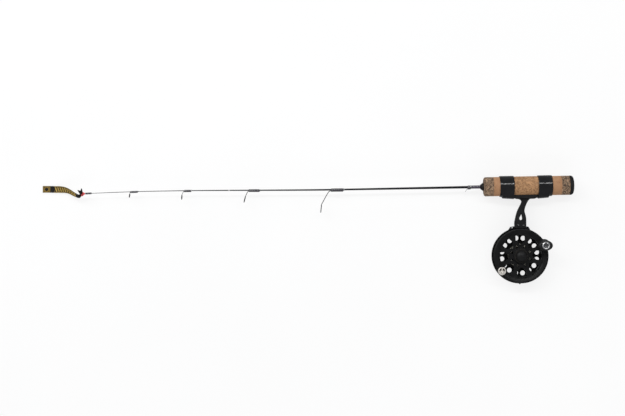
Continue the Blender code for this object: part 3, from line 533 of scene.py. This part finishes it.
def finish_mesh(name, shape, mat):
    """The shape as an object in metres at the frame's origin."""
    bmesh.ops.remove_doubles(shape, verts=shape.verts, dist=0.0005)
    bmesh.ops.recalc_face_normals(shape, faces=shape.faces)
    bmesh.ops.scale(shape, verts=shape.verts, vec=(MM,) * 3)
    mesh = bpy.data.meshes.new(name)
    shape.to_mesh(mesh)
    shape.free()
    mesh.shade_smooth()
    mesh.set_sharp_from_angle(angle=math.radians(40))
    obj = bpy.data.objects.new(name, mesh)
    link(obj)
    mesh.materials.append(mat)
    return obj


def rings_shape(rings, closed=False):
    """A bmesh of equal rings of points joined in order; a ring of one point is a tip."""
    shape = bmesh.new()
    made = [[shape.verts.new(p) for p in ring] for ring in rings]
    pairs = list(zip(made, made[1:])) + ([(made[-1], made[0])] if closed else [])
    for a, b in pairs:
        count = max(len(a), len(b))
        for i in range(count):
            j = (i + 1) % count
            face = [a[i % len(a)], a[j % len(a)], b[j % len(b)], b[i % len(b)]]
            face = list(dict.fromkeys(face))
            if len(face) > 2:
                shape.faces.new(face)
    if not closed:
        for ring in (made[0], made[-1]):
            if len(ring) > 2:
                shape.faces.new(ring)
    return shape


def turned(name, profile, mat, steps=96, at=(0, 0, 0), along_x=False, lean=0.0, fillet=0.25,
           closed=None):
    """A profile of (radius, height) spun about Z, or about X for pieces on the rod."""
    if closed is None:
        closed = profile[0][0] > 0 and profile[-1][0] > 0
    profile = spaced(profile, fillet, closed)
    turn = (Matrix.Translation(Vector(at)) @ Matrix.Rotation(math.radians(lean), 4, "Z")
            @ (Matrix.Rotation(math.pi / 2, 4, "Y") if along_x else Matrix()))
    rings = []
    for radius, height in profile:
        if radius < 1e-6:
            rings.append([turn @ Vector((0, 0, height))])
        else:
            rings.append([turn @ Vector((radius * math.cos(a), radius * math.sin(a), height))
                          for a in around(steps)])
    return finish_mesh(name, rings_shape(rings, closed), mat)


def outline_solid(name, outline, low, high, mat, turn=None):
    """A flat outline filled from low to high along Z."""
    shape = rings_shape([[Vector((x, y, z)) for x, y in outline] for z in (low, high)])
    if turn is not None:
        bmesh.ops.transform(shape, matrix=turn, verts=shape.verts)
    return finish_mesh(name, shape, mat)


def tube(name, points, radii, mat, sides):
    """A wire through points; radii is one number or one for each point."""
    points = [Vector(p) for p in points]
    if not hasattr(radii, "__len__"):
        radii = [radii] * len(points)
    rings, side = [], None
    for i, point in enumerate(points):
        ahead = (points[min(i + 1, len(points) - 1)] - points[max(i - 1, 0)]).normalized()
        if side is None:
            side = ahead.orthogonal().normalized()
        side = (side - ahead * side.dot(ahead)).normalized()
        other = ahead.cross(side)
        rings.append([point + (side * math.cos(a) + other * math.sin(a)) * radii[i]
                      for a in around(sides)])
    return finish_mesh(name, rings_shape(rings), mat)


def ring_wire(name, at, outside, wire_radius, lean, mat, steps=56, sides=14):
    """A round ring across the rod; at is its middle."""
    major = outside / 2 - wire_radius
    section = [(major + wire_radius * math.cos(a), wire_radius * math.sin(a))
               for a in around(sides)]
    return turned(name, section, mat, steps, (*at, ROD_Z), True, lean, 0.0, True)


def cut(*tools):
    return [("DIFFERENCE", tool) for tool in tools]


def combined(base, *steps, edge=0.0):
    """Applies Booleans given as (operation, tool), then a small bevel, and drops the tools."""
    for operation, tool in steps:
        mod = base.modifiers.new(tool.name, "BOOLEAN")
        mod.operation, mod.object, mod.solver = operation, tool, "EXACT"
    if edge:
        mod = base.modifiers.new("edge", "BEVEL")
        mod.width, mod.segments = edge * MM, 2
        mod.limit_method, mod.angle_limit = "ANGLE", math.radians(48)
    bpy.context.view_layer.update()
    graph = bpy.context.evaluated_depsgraph_get()
    mesh = bpy.data.meshes.new_from_object(base.evaluated_get(graph))
    old = base.data
    base.modifiers.clear()
    base.data = mesh
    bpy.data.meshes.remove(old)
    for _, tool in steps:
        bpy.data.objects.remove(tool, do_unlink=True)
    mesh.shade_smooth()
    mesh.set_sharp_from_angle(angle=math.radians(38))
    weigh = base.modifiers.new("flat faces", "WEIGHTED_NORMAL")
    weigh.keep_sharp = True
    return base


def cylinder(name, x, y, radius, low, high, steps=32):
    return turned(name, [(0, high), (radius, high), (radius, low), (0, low)], STEEL, steps,
                  (x, y, 0), fillet=0.0)


def use(obj, body, *nodes):
    """Lets the piece ride on its body in place of the nodes."""
    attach(obj, body)
    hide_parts(*nodes)
    return obj


# ---- Blank ----

def bow(x):
    reach = BOW_TO_BUTT if x > BOW_PEAK_X else BOW_TO_TIP
    return BOW_HEIGHT * math.cos(min(abs(x - BOW_PEAK_X) / reach, 1.0) * math.pi / 2) ** 2


def slope(x):
    return bow(x + 0.5) - bow(x - 0.5)


def blank_radius(x):
    if x >= BLANK_STATIONS[0][0]:
        return BLANK_STATIONS[0][1]
    for (x0, r0), (x1, r1) in zip(BLANK_STATIONS, BLANK_STATIONS[1:]):
        if x >= x1:
            return r0 + (r1 - r0) * (x0 - x) / (x0 - x1)
    return BLANK_STATIONS[-1][1]


def make_blank():
    start, end = BLANK_STATIONS[0][0], BLANK_STATIONS[-1][0]
    xs = [BLANK_BUTT_X] + [start + (end - start) * i / BLANK_STEPS for i in range(BLANK_STEPS + 1)]
    use(tube("blank", [(x, ROD_Y + bow(x), ROD_Z) for x in xs], [blank_radius(x) for x in xs],
             BLANK, 20), ROD, "rod_blank")


# ---- Handle ----

def grip_ring(name, node, x0, x1, mat, front=0.12, rear=0.12):
    """A bored ring of cork with its outer corners eased."""
    def corner(x, size, way):
        return [(CORK_R - size * (1 - math.sin(a)), x + way * size * (1 - math.cos(a)))
                for a in (math.pi / 2 * k / 6 for k in range(7))]
    profile = [(BORE_R, x1)] + corner(x1, rear, -1) + corner(x0, front, 1)[::-1] + [(BORE_R, x0)]
    use(turned(name, profile, mat, 96, AXIS, True, fillet=0.0, closed=True), ROD, node)


def make_handle():
    grip_ring("front_burl", "cork_front_burl", -43.97, -32.13, BURL, front=2.4)
    grip_ring("front_cork", "cork_front_ring", -32.07, -24.33, CORK_RING)
    grip_ring("rear_cork", "cork_rear_ring", 40.93, 52.47, CORK_RING)
    grip_ring("rear_burl", "cork_rear_burl", 52.53, 62.77, BURL, rear=0.5)
    middle = [(BORE_R, 40.87), (CORK_R, 40.87), (CORK_R, 23.2), (12.12, 22.4), (12.2, 20.0),
              (12.2, -3.0), (12.12, -5.8), (CORK_R, -6.5), (CORK_R, -24.27), (BORE_R, -24.27)]
    use(turned("middle_cork", middle, CORK_MID, 96, AXIS, True, fillet=0.4), ROD, "cork_center")
    cap = [(0, 68.1), (8.3, 68.05), (10.6, 67.4), (11.75, 66.0), (12.15, 64.4), (12.15, 62.85),
           (0, 62.85)]
    use(turned("rubber_butt", cap, CAP_RUBBER, 96, AXIS, True, fillet=1.0), ROD, "butt_cap")
    check = [(BORE_R, -44.1), (4.9, -44.1), (5.1, -44.9), (3.9, -46.7), (2.7, -48.1),
             (2.4, -48.3), (BORE_R, -48.3)]
    use(turned("cone_check", check, CAP_RUBBER, 64, AXIS, True, fillet=0.5), ROD, "winding_check")


def toe_outer(x):
    """Outside radius of the foot, rising by 1 from its toes inwards."""
    inward = x - FOOT_X0 if x < (FOOT_X0 + FOOT_X1) / 2 else FOOT_X1 - x
    return TOE_R + min(max(inward, 0.0) / TOE_RAMP, 1.0)


def band_inner(angle, x, toe_share):
    """Inside of a stretched band: round on the cork, tight over the foot's toe."""
    toe = toe_outer(x) + 0.22
    toe = BAND_IN_R + (toe - BAND_IN_R) * toe_share
    half = math.asin(FOOT_HALF / toe) + 0.08
    off = abs((angle + math.pi / 2 + math.pi) % (2 * math.pi) - math.pi)
    if off <= half:
        return toe
    lean = math.acos(min(BAND_IN_R / toe, 1.0))
    return BAND_IN_R / math.cos(half + lean - off) if off < half + lean else BAND_IN_R


def make_band(name, node, x0, x1, toe_end):
    """A smooth sleeve whose wall steps down where the foot's toe ends."""
    sides, steps = 120, 40
    outward = 1 if toe_end > 0 else -1
    rings, inner = [], []
    for k in range(steps + 1):
        x = x0 + (x1 - x0) * k / steps
        past = (x - toe_end) * outward
        share = 1.0 - min(max((past - 0.3) / 1.6, 0.0), 1.0)
        share = share * share * (3 - 2 * share)
        lip = min(x - x0, x1 - x)
        wall = BAND_WALL - BAND_LIP_THINNER * max(0.0, 1 - lip / 0.5) ** 2
        wave = 0.05 * math.sin(x * 1.7 + 0.6)
        outer_ring, inner_ring = [], []
        for a in around(sides):
            base = band_inner(a, x, share)
            ripple = wave * math.sin(3 * a + x * 0.4) * min(lip, 1.0)
            for ring, r in ((outer_ring, base + wall + ripple), (inner_ring, base)):
                ring.append((x, ROD_Y + r * math.sin(a), ROD_Z + r * math.cos(a)))
        rings.append(outer_ring)
        inner.append(inner_ring)
    use(finish_mesh(name, rings_shape(rings + inner[::-1], True), BAND_VINYL), ROD, node)


# ---- Reel foot and stem ----

def make_foot():
    saddle = turned("foot_and_stem", [
        (12.5, FOOT_X1), (TOE_R, FOOT_X1), (TOE_R + 1, FOOT_X1 - TOE_RAMP),
        (15.6, FOOT_X1 - 15.4), (16.1, FOOT_X1 - 17.4), (16.1, FOOT_X0 + 17.4),
        (15.6, FOOT_X0 + 15.4), (TOE_R + 1, FOOT_X0 + TOE_RAMP), (TOE_R, FOOT_X0),
        (12.5, FOOT_X0)], FOOT_METAL, 160, AXIS, True, fillet=0.3)
    toe = ((0, 0), (0, 2.4), (0.8, 4.0), (9, 5.3), (15, FOOT_HALF))
    half = [(FOOT_X0 + x, z) for x, z in toe] + [(FOOT_X1 - x, z) for x, z in reversed(toe)]
    outline = spaced(half + [(x, -z) for x, z in reversed(half[1:-1])], 1.5, True)
    turn = Matrix.Translation((0, ROD_Y - 14.6, ROD_Z)) @ Matrix.Rotation(math.pi / 2, 4, "X")
    trim = outline_solid("trim", outline, -8, 8, FOOT_METAL, turn)
    left = curve_through([(-6.4, 39.0), (-6.2, 42.8), (-3.0, 54.9), (2.2, 65.4), (2.6, 68.6),
                          (0.8, 70.2), (-1.6, 70.9)], 8)
    right = curve_through([(14.8, 70.9), (12.3, 69.9), (9.8, 66.4), (7.4, 61.0), (6.3, 55.4),
                           (8.1, 47.9), (8.2, 39.0)], 8)
    outline = ([(-6.0, 34.6), (-6.4, 35.0)] + left + [(-1.6, 71.8), (14.8, 71.8)] + right
               + [(8.2, 35.0), (7.8, 34.6)])
    stem = outline_solid("stem", outline, 10.5, 15.5, FOOT_METAL)
    stem = combined(stem, edge=0.75)
    stem.modifiers.clear()
    tear = [(1.55 + 1.95 * math.cos(a), 46.6 + 2.1 * math.sin(a))
            for a in (math.radians(155 + 10 * i) for i in range(23))] + [(2.75, 51.6), (2.05, 51.8)]
    hole = outline_solid("tear", tear, 9, 17, FOOT_METAL)
    bores = [cylinder(f"bore{i}", x, y, 0.95, 9, 17) for i, (x, y) in enumerate(STEM_SCREWS)]
    use(combined(saddle, ("INTERSECT", trim), ("UNION", stem), *cut(hole, *bores), edge=0.22),
        ROD, "reel_foot")
    for i, (x, y) in enumerate(STEM_SCREWS):
        head = turned(f"stem_screw_{i}", [(0, 16.45), (0.5, 16.42), (1.05, 16.2), (1.25, 15.7),
                                          (0.7, 15.7), (0.7, 6.0), (0, 6.0)], DARK_STEEL, 32,
                      (x, y, 0), fillet=0.1)
        slot = outline_solid("slot", rectangle(x, y, 1.0, 0.12), 16.2, 17, STEEL)
        use(combined(head, *cut(slot)), ROD, ("stem_screw_left", "stem_screw_right")[i])


# ---- Reel ----

def make_housing():
    pan = turned("back_plate", [
        (0, 1.2), (2.3, 1.2), (2.3, 7.2), (6.6, 7.2), (7.2, 6.5), (10.4, 6.5), (10.4, 12.4),
        (12.3, 12.4), (12.7, 12.0), (12.7, 6.5), (33.9, 6.5), (33.9, 9.0), (34.9, 9.0),
        (34.9, 4.6), (34.3, 4.0), (9.4, 4.0), (9.0, 0.5), (8.5, 0.0), (0, 0.0)], PAN_METAL, 144,
        fillet=0.3)
    arc = [polar(34.4, 66 + 2.4 * i) for i in range(21)]
    pad = arc + [(-10.4, 36.3), (-5.6, 36.8), (-5.4, 42.8), (7.4, 42.8), (7.4, 36.8), (11.6, 36.0)]
    pad = outline_solid("pad", pad, 4.3, 10.2, PAN_METAL)
    nub = cylinder("nub", -0.3, -35.0, 0.9, 5.0, 8.8, 24)
    ports = [cylinder(f"port{i}", *polar(PORT_RING_R, PORT_PHASE + 360 / PORTS * i), PORT_R, 3,
                      7.5) for i in range(PORTS)]
    bores = [cylinder(f"pad_bore{i}", x, y, 0.95, 5.6, 12) for i, (x, y) in enumerate(STEM_SCREWS)]
    pin_bore = cylinder("pin_bore", *PIN_AT, 1.0, 6.0, 12)
    use(combined(pan, ("UNION", pad), ("UNION", nub), *cut(*ports, *bores, pin_bore), edge=0.25),
        ROD, "reel_housing")
    pin = [(0, 14.6), (0.5, 14.6), (0.75, 14.3), (0.75, 6.4), (0, 6.4)]
    use(turned("bright_pin", pin, PIN_STEEL, 24, (*PIN_AT, 0), fillet=0.15), ROD, "line_pin")


def web_windows():
    """Openings of a star of crossing bars, with their corners eased."""
    near, far, eighth = ARM_REACH - ARM_HALF, ARM_REACH + ARM_HALF, math.pi / 8
    corner, shoulder = far * math.sqrt(2), math.degrees(math.asin(near / WINDOW_OUT_R))
    outer = [(corner, 0), (corner + near, near)]
    outer += [polar(WINDOW_OUT_R, shoulder * k / 6) for k in range(6, -7, -1)]
    outer.append((corner + near, -near))
    wide = near * math.cos(eighth) - far * math.sin(eighth)
    waist = far * math.cos(eighth) + near * math.sin(eighth)
    inner = [(far / math.cos(eighth), 0), (waist, wide), (near / math.sin(eighth), 0),
             (waist, -wide)]
    for k in range(8):
        for outline, turn, ease in ((outer, 2 * k * eighth, 0.7),
                                    (inner, (2 * k + 1) * eighth, 0.35)):
            turn += math.radians(WEB_PHASE)
            yield spaced([(x * math.cos(turn) - y * math.sin(turn),
                           x * math.sin(turn) + y * math.cos(turn)) for x, y in outline], ease,
                         True)


def make_spool():
    spool = turned("spool_body", [
        (4.3, 24.0), (9.0, 24.0), (9.4, 23.6), (9.6, 21.3), (27.8, 21.3), (28.6, 21.9),
        (31.6, 22.8), (32.9, 23.0), (34.1, 22.5), (34.2, 21.6), (33.7, 21.0), (27.8, 20.7),
        (27.8, 9.2), (33.0, 8.7), (33.2, 8.1), (32.8, 7.4), (26.4, 7.4), (26.4, 19.3),
        (6.4, 19.3), (6.4, 8.2), (4.3, 8.2)], SPOOL_METAL, 144, fillet=0.5)
    windows = [outline_solid(f"window{i}", outline, 18.3, 25, SPOOL_METAL)
               for i, outline in enumerate(web_windows())]
    rim = [cylinder("post_hole", *KNOB_AT, 1.8, 20, 25, 24),
           cylinder("weight_hole", *WEIGHT_AT, 1.3, 20, 25, 24)]
    dimples = [cylinder(f"dimple{i}", *polar(DIMPLE_RING_R, WEB_PHASE + 360 / DIMPLES * i),
                        DIMPLE_R, 20.6, 25, 20) for i in range(DIMPLES)]
    use(combined(spool, *cut(*windows, *rim, *dimples), edge=0.3), SPOOL, "spool")
    weight = [(1.3, 26.4), (5.0, 26.4), (5.0, 23.4), (1.3, 23.4)]
    use(turned("weight_disc", weight, WEIGHT_STEEL, 64, (*WEIGHT_AT, 0), fillet=0.6), SPOOL,
        "counterweight")
    x, y = WEIGHT_AT
    head = turned("weight_screw", [(0, 27.5), (1.6, 27.45), (2.3, 27.1), (2.5, 26.6), (1.0, 26.6),
                                   (1.0, 19.9), (0, 19.9)], WEIGHT_STEEL, 40, (x, y, 0), fillet=0.2)
    slots = [outline_solid(f"slot{i}", rectangle(x, y, *half), 26.9, 28, DARK_STEEL)
             for i, half in enumerate(((1.6, 0.3), (0.3, 1.6)))]
    use(combined(head, *cut(*slots), edge=0.06), SPOOL, "counterweight_screw")
    cap = turned("silver_cap", [(0, 41.1), (3.3, 41.1), (3.5, 41.5), (4.1, 41.5), (4.6, 41.2),
                                (4.8, 40.5), (4.6, 40.1), (0, 40.1)], CAP_STEEL, 72,
                 (*KNOB_AT, 0), fillet=0.2)
    hexagon = [(KNOB_AT[0] + 1.9 * math.cos(a), KNOB_AT[1] + 1.9 * math.sin(a))
               for a in around(6)]
    use(combined(cap, *cut(outline_solid("hex", hexagon, 40.7, 42, DARK_STEEL)), edge=0.08),
        SPOOL, "knob_cap")


def make_knobs():
    stations = [(1.8, 1.8, 39.8), (6.8, 4.8, 39.8), (8.2, 5.8, 39.2), (8.9, 6.4, 37.8),
                (8.7, 6.3, 35.0), (7.0, 6.0, 30.8), (6.8, 6.6, 27.6), (7.7, 7.6, 25.4),
                (8.1, 8.0, 24.5), (7.7, 7.6, 23.8), (1.8, 1.8, 23.8)]
    x, y = KNOB_AT
    rings = [[(x + along * math.cos(a), y + across * math.sin(a), z) for a in around(96)]
             for along, across, z in spaced(stations, 1.3, True, 4)]
    use(finish_mesh("crank_grip", rings_shape(rings, True), KNOB_RUBBER), KNOB_BODY,
        "crank_knob")
    dome = [(0, 31.8), (1.5, 31.72), (2.8, 31.5), (5.2, 30.4), (6.8, 28.6), (7.5, 26.4),
            (7.5, 25.6), (7.2, 25.3), (5.6, 25.3), (5.6, 28.2), (2.3, 28.2), (2.3, 29.6),
            (0, 29.6)]
    use(turned("drag_dome", dome, DRAG_PLASTIC, 96, fillet=0.9), DRAG_BODY, "drag_knob")


# ---- Guides, keeper and tip-top ----

def rod_ring(x, y, radius, sides, squeeze=1.0):
    """A ring of points across the rod about (x, y), squeezed along Z."""
    return [(x, y + radius * math.sin(a), ROD_Z + radius * math.cos(a) * squeeze)
            for a in around(sides)]


def swell(x, x0, x1, ease):
    """0 at either end of a wrap, rising along a quarter circle of length ease to 1."""
    near = min(min(x - x0, x1 - x) / ease, 1.0)
    return math.sqrt(max(1 - (1 - near) ** 2, 0.0))


def wrap(name, node, x0, x1, foot, mat, lift=0.16, wall=0.35, ease=1.2):
    """Thread and epoxy over the blank and a foot: thin at both ends."""
    sides, steps, squeeze = 40, 36, 0.97
    rings = []
    for k in range(steps + 1):
        x = x0 + (x1 - x0) * k / steps
        radius = blank_radius(x) + foot + lift + wall * (0.35 + 0.65 * swell(x, x0, x1, ease))
        rings.append(rod_ring(x, ROD_Y + bow(x) - foot, radius, sides, squeeze))
    inner = [rod_ring(x, ROD_Y + bow(x) - foot, blank_radius(x) + foot + lift - 0.02, sides,
                      squeeze) for x in (x1, x0)]
    use(finish_mesh(name, rings_shape(rings + inner, True), mat), ROD, node)


def trim_ring(name, node, x0, x1, clear, wall):
    """A bright ring at the end of a wrap."""
    middle = (x0 + x1) / 2
    inner = blank_radius(middle) + clear
    half = (x1 - x0) / 2
    use(turned(name, [(inner, half), (inner + wall, half), (inner + wall, -half), (inner, -half)],
               STEEL, 40, (middle, ROD_Y + bow(middle), ROD_Z), True,
               math.degrees(slope(middle)), 0.15), ROD, node)


def make_guide(number, x0, x1, ring_at, outside, wire_radius, lean):
    """Wire frame with its ring, ceramic insert, wrap and trim ring."""
    node = f"guide_{number}"
    drop = blank_radius((x0 + x1) / 2) + wire_radius + 0.08
    reach, turn = outside / 2 - wire_radius, math.radians(lean)
    top = (ring_at[0] - reach * math.sin(turn), ring_at[1] + reach * math.cos(turn), ROD_Z)

    def under(x):
        return (x, ROD_Y + bow(x) - drop, ROD_Z)

    root = under(x0 - 0.3)
    knee = (root[0] - 0.28 * (root[0] - top[0]), root[1] - 0.12 * (root[1] - top[1]), ROD_Z)
    path = curve_through([under(x1 - 1.2), under(x0 + 3.0), under(x0 + 0.8), root, knee, top], 8)
    sizes = [wire_radius * min(1.0, 0.45 + i / 9) for i in range(len(path))]
    leg = tube("leg", path, sizes, GUIDE_METAL, 14)
    ring = ring_wire("ring", ring_at, outside, wire_radius, lean, GUIDE_METAL)
    frame_piece = use(combined(leg, ("UNION", ring)), ROD, f"{node}_frame")
    frame_piece.name = f"{node}_wire"
    outer = outside / 2 - 2 * wire_radius - 0.05
    wall = 0.12 * outside / 2 + 0.2
    insert = [(outer - wall, 0.22), (outer - wall * 0.75, 0.5), (outer - wall * 0.3, 0.57),
              (outer, 0.42), (outer, -0.42), (outer - wall * 0.3, -0.57),
              (outer - wall * 0.75, -0.5), (outer - wall, -0.22)]
    use(turned(f"{node}_ring", insert, CERAMIC, 56, (*ring_at, ROD_Z), True, lean, 0.2), ROD,
        f"{node}_insert")
    wrap(f"{node}_thread", f"{node}_wrap", x0, x1, wire_radius + 0.04, WRAP_THREAD)
    trim_ring(f"{node}_band", f"{node}_trim", x1 + 0.15, x1 + 0.95, 0.12, 0.35)


def make_keeper():
    """A loop of bright wire under a short wrap, then the thread down to the grip."""
    foot = ROD_Y - blank_radius(KEEPER_X) - KEEPER_DROP
    leg = [(-60.8, 0.0, 0.45), (-63.9, 0.0, 0.5), (-64.9, 0.8, 1.2), (-66.0, 2.4, 1.25),
           (-66.7, 3.3, 0.7)]
    keys = [(x, foot - down, ROD_Z - side) for x, down, side in leg]
    keys += [(x, foot - down, ROD_Z + side) for x, down, side in reversed(leg)]
    use(tube("keeper_loop", curve_through(keys, 6), 0.28, STEEL, 12), ROD, "hook_keeper")
    wrap("keeper_thread", "keeper_wrap", -63.8, -60.4, 0.4, WRAP_THREAD, lift=0.18, ease=0.8)
    trim_ring("keeper_band", "keeper_trim", -60.25, -59.45, 0.12, 0.6)
    wrap("grip_thread", "grip_wrap", -59.3, -48.5, 0.0, GRIP_THREAD, lift=0.12, wall=0.32)


def make_tip_top():
    tip_x = BLANK_STATIONS[-1][0]
    y, tilt = ROD_Y + bow(tip_x), slope(-538.0)
    stop = tip_x - 0.5
    body = turned("tip_frame", [(0, stop), (0.42, stop), (0.42, TIP_TUBE_X1),
                                (0.72, TIP_TUBE_X1), (0.72, TIP_TUBE_X0), (0, TIP_TUBE_X0)], RED,
                  32, (0, y - tilt * tip_x, ROD_Z), True, math.degrees(tilt), 0.1)
    x, ring_y = TIP_RING_AT
    reach, behind = TIP_RING_OD / 2 - TIP_WIRE_R, x + 0.75
    wedge = [(TIP_TUBE_X0 + 0.8, y + 0.5), (behind + 0.4, ring_y + reach - 0.1),
             (x, ring_y + reach + 0.15), (x, ring_y + reach - 0.15), (behind, ring_y + reach - 0.5),
             (behind, ring_y - reach + 0.5), (x, ring_y - reach + 0.15), (x, ring_y - reach - 0.15),
             (behind + 0.4, ring_y - reach + 0.1), (TIP_TUBE_X0 + 0.8, y - 0.5)]
    wedge = outline_solid("wedge", wedge, ROD_Z - 0.4, ROD_Z + 0.4, RED)
    ring = ring_wire("tip_ring", TIP_RING_AT, TIP_RING_OD, TIP_WIRE_R, 0.0, RED, 48, 12)
    use(combined(body, ("UNION", wedge), ("UNION", ring), edge=0.1), ROD, "tip_top_frame")
    outer = TIP_RING_OD / 2 - 2 * TIP_WIRE_R - 0.05
    wall = 0.12 * TIP_RING_OD / 2 + 0.2
    insert = [(outer - wall, 0.2), (outer - wall * 0.6, 0.52), (outer, 0.45), (outer, -0.45),
              (outer - wall * 0.6, -0.52), (outer - wall, -0.2)]
    use(turned("tip_ceramic", insert, CERAMIC, 48, (*TIP_RING_AT, ROD_Z), True, 0.0, 0.15), ROD,
        "tip_top_ring")
    x0, x1 = TIP_TUBE_X0 + 0.8, TIP_TUBE_X1 + 2.0
    sides, steps, rings = 32, 24, []
    for k in range(steps + 1):
        x = x0 + (x1 - x0) * k / steps
        rings.append(rod_ring(x, ROD_Y + bow(x), 0.88 + 0.26 * swell(x, x0, x1, 0.8), sides))
    low, high = ROD_Y + bow(x0), ROD_Y + bow(x1)
    inner = [rod_ring(x1, high, 0.5, sides), rod_ring(TIP_TUBE_X1 + 0.1, high, 0.8, sides),
             rod_ring(x0, low, 0.82, sides)]
    use(finish_mesh("tip_thread", rings_shape(rings + inner, True), WRAP_THREAD), ROD,
        "tip_top_wrap")


# ---- Ribbon ----

def make_ribbon():
    """A satin strip, gathered into pleats where it goes through the ring, with a cut tail."""
    path = curve_through(RIBBON_KEYS, 10)
    across_steps = 28
    shape = bmesh.new()
    layer = shape.loops.layers.uv.new("print")
    rows, spots, run = [], {}, 0.0
    for i, (x, y, z, half, roll, yaw) in enumerate(path):
        here = Vector((x, y, z))
        ahead = Vector(path[min(i + 1, len(path) - 1)][:3])
        behind = Vector(path[max(i - 1, 0)][:3])
        forward = (ahead - behind).normalized()
        if i:
            run += (here - Vector(path[i - 1][:3])).length
        roll, yaw = math.radians(roll), math.radians(yaw)
        across = Vector((math.sin(yaw), math.cos(yaw) * math.cos(roll), math.sin(roll)))
        across = (across - forward * across.dot(forward)).normalized()
        up = forward.cross(across).normalized()
        gather = 1 - half / RIBBON_HALF
        row = []
        for k in range(across_steps + 1):
            v = -1 + 2 * k / across_steps
            pleat = 0.75 * gather * math.sin(v * 7.5 + 0.5) * (1 - 0.25 * abs(v))
            curl = 0.22 * v * v * (1 - gather)
            if i < FLAT_ROWS:
                pleat, curl = 0.0, 0.1 * v * v * math.sin(i * 0.5)
            share = max(i + 1 + TAIL_ROWS - len(path), 0) / TAIL_ROWS
            tail = TAIL_CUT * abs(v) * share ** 2
            spot = shape.verts.new(here + across * half * v + up * (pleat + curl)
                                   + forward * tail)
            spots[spot] = (run, v * RIBBON_HALF)
            row.append(spot)
        rows.append(row)
    for a, b in zip(rows, rows[1:]):
        for k in range(across_steps):
            face = shape.faces.new((a[k], a[k + 1], b[k + 1], b[k]))
            for loop in face.loops:
                loop[layer].uv = spots[loop.vert]
    bmesh.ops.scale(shape, verts=shape.verts, vec=(MM,) * 3)
    mesh = bpy.data.meshes.new("ribbon")
    shape.to_mesh(mesh)
    shape.free()
    mesh.shade_smooth()
    mesh.materials.append(RIBBON)
    obj = bpy.data.objects.new("ribbon", mesh)
    link(obj)
    thick = obj.modifiers.new("cloth", "SOLIDIFY")
    thick.thickness, thick.offset = CLOTH_THICK * MM, 0.0
    use(obj, ROD, "gift_ribbon")


# ---- Stage ----

def make_floor():
    """A plain pale floor, lit mostly from within, so that it stays even and nearly white."""
    g = Graph("studio_floor", (0.16, 0.16, 0.16), 0.6, Specular_IOR_Level=0.1)
    g.mottle(g.noise(g.place(), 0.004, 2.0), 0.155, 0.165)
    g.set("Emission Color", (1.0, 1.0, 1.0, 1.0))
    g.set("Emission Strength", FLOOR_GLOW)
    mesh = bpy.data.meshes.new("studio_floor")
    corners = rectangle(0, 0, FLOOR_HALF, FLOOR_HALF)
    mesh.from_pydata([(*corner, 0) for corner in corners], [], [(0, 1, 2, 3)])
    mesh.materials.append(g.mat)
    floor = bpy.data.objects.new("studio_floor", mesh)
    floor.location.z = -FLOOR_DROP
    floor.visible_glossy = False
    link(floor)


def make_lights():
    world = bpy.data.worlds.new("studio")
    world.use_nodes = True
    sky = world.node_tree.nodes["Background"].inputs
    sky["Color"].default_value, sky["Strength"].default_value = SKY, SKY_POWER
    bpy.context.scene.world = world
    bpy.context.scene.view_settings.view_transform = "Standard"
    for name, (at, size, watts, seen) in LAMPS.items():
        light = bpy.data.lights.new(name, "AREA")
        light.shape = "RECTANGLE"
        light.size, light.size_y = size
        light.energy = watts
        lamp = bpy.data.objects.new(name, light)
        lamp.visible_glossy = seen
        lamp.location = at
        lamp.rotation_euler = (Vector(LAMP_AIM) - Vector(at)).to_track_quat("-Z", "Y").to_euler()
        link(lamp)


def make_camera():
    """Straight above the rod, turned a little about the view."""
    lens = bpy.data.cameras.new("camera")
    lens.sensor_width, lens.lens, lens.clip_start = CAMERA_SENSOR, CAMERA_LENS, 0.01
    camera = bpy.data.objects.new("camera", lens)
    camera.location = CAMERA_AT
    camera.rotation_euler = Euler((0, 0, math.radians(CAMERA_ROLL)))
    link(camera)
    bpy.context.scene.camera = camera


make_floor()
make_lights()
make_camera()
make_blank()
make_handle()
make_band("front_band", "band_front", -24.3, -6.7, FOOT_X0)
make_band("rear_band", "band_rear", 23.4, 40.9, FOOT_X1)
make_foot()
make_housing()
make_spool()
make_knobs()
for index, guide in enumerate(GUIDES, 1):
    make_guide(index, *guide)
make_keeper()
make_tip_top()
make_ribbon()

for names, look in ((("bearing_front", "bearing_rear"), BRONZE), (("drag_washer",), FIBRE),
                    (("spindle", "knob_post", "drag_spring"), STEEL)):
    for node_name in names:
        node_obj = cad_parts[node_name]
        for slot in node_obj.material_slots:
            slot.material = look
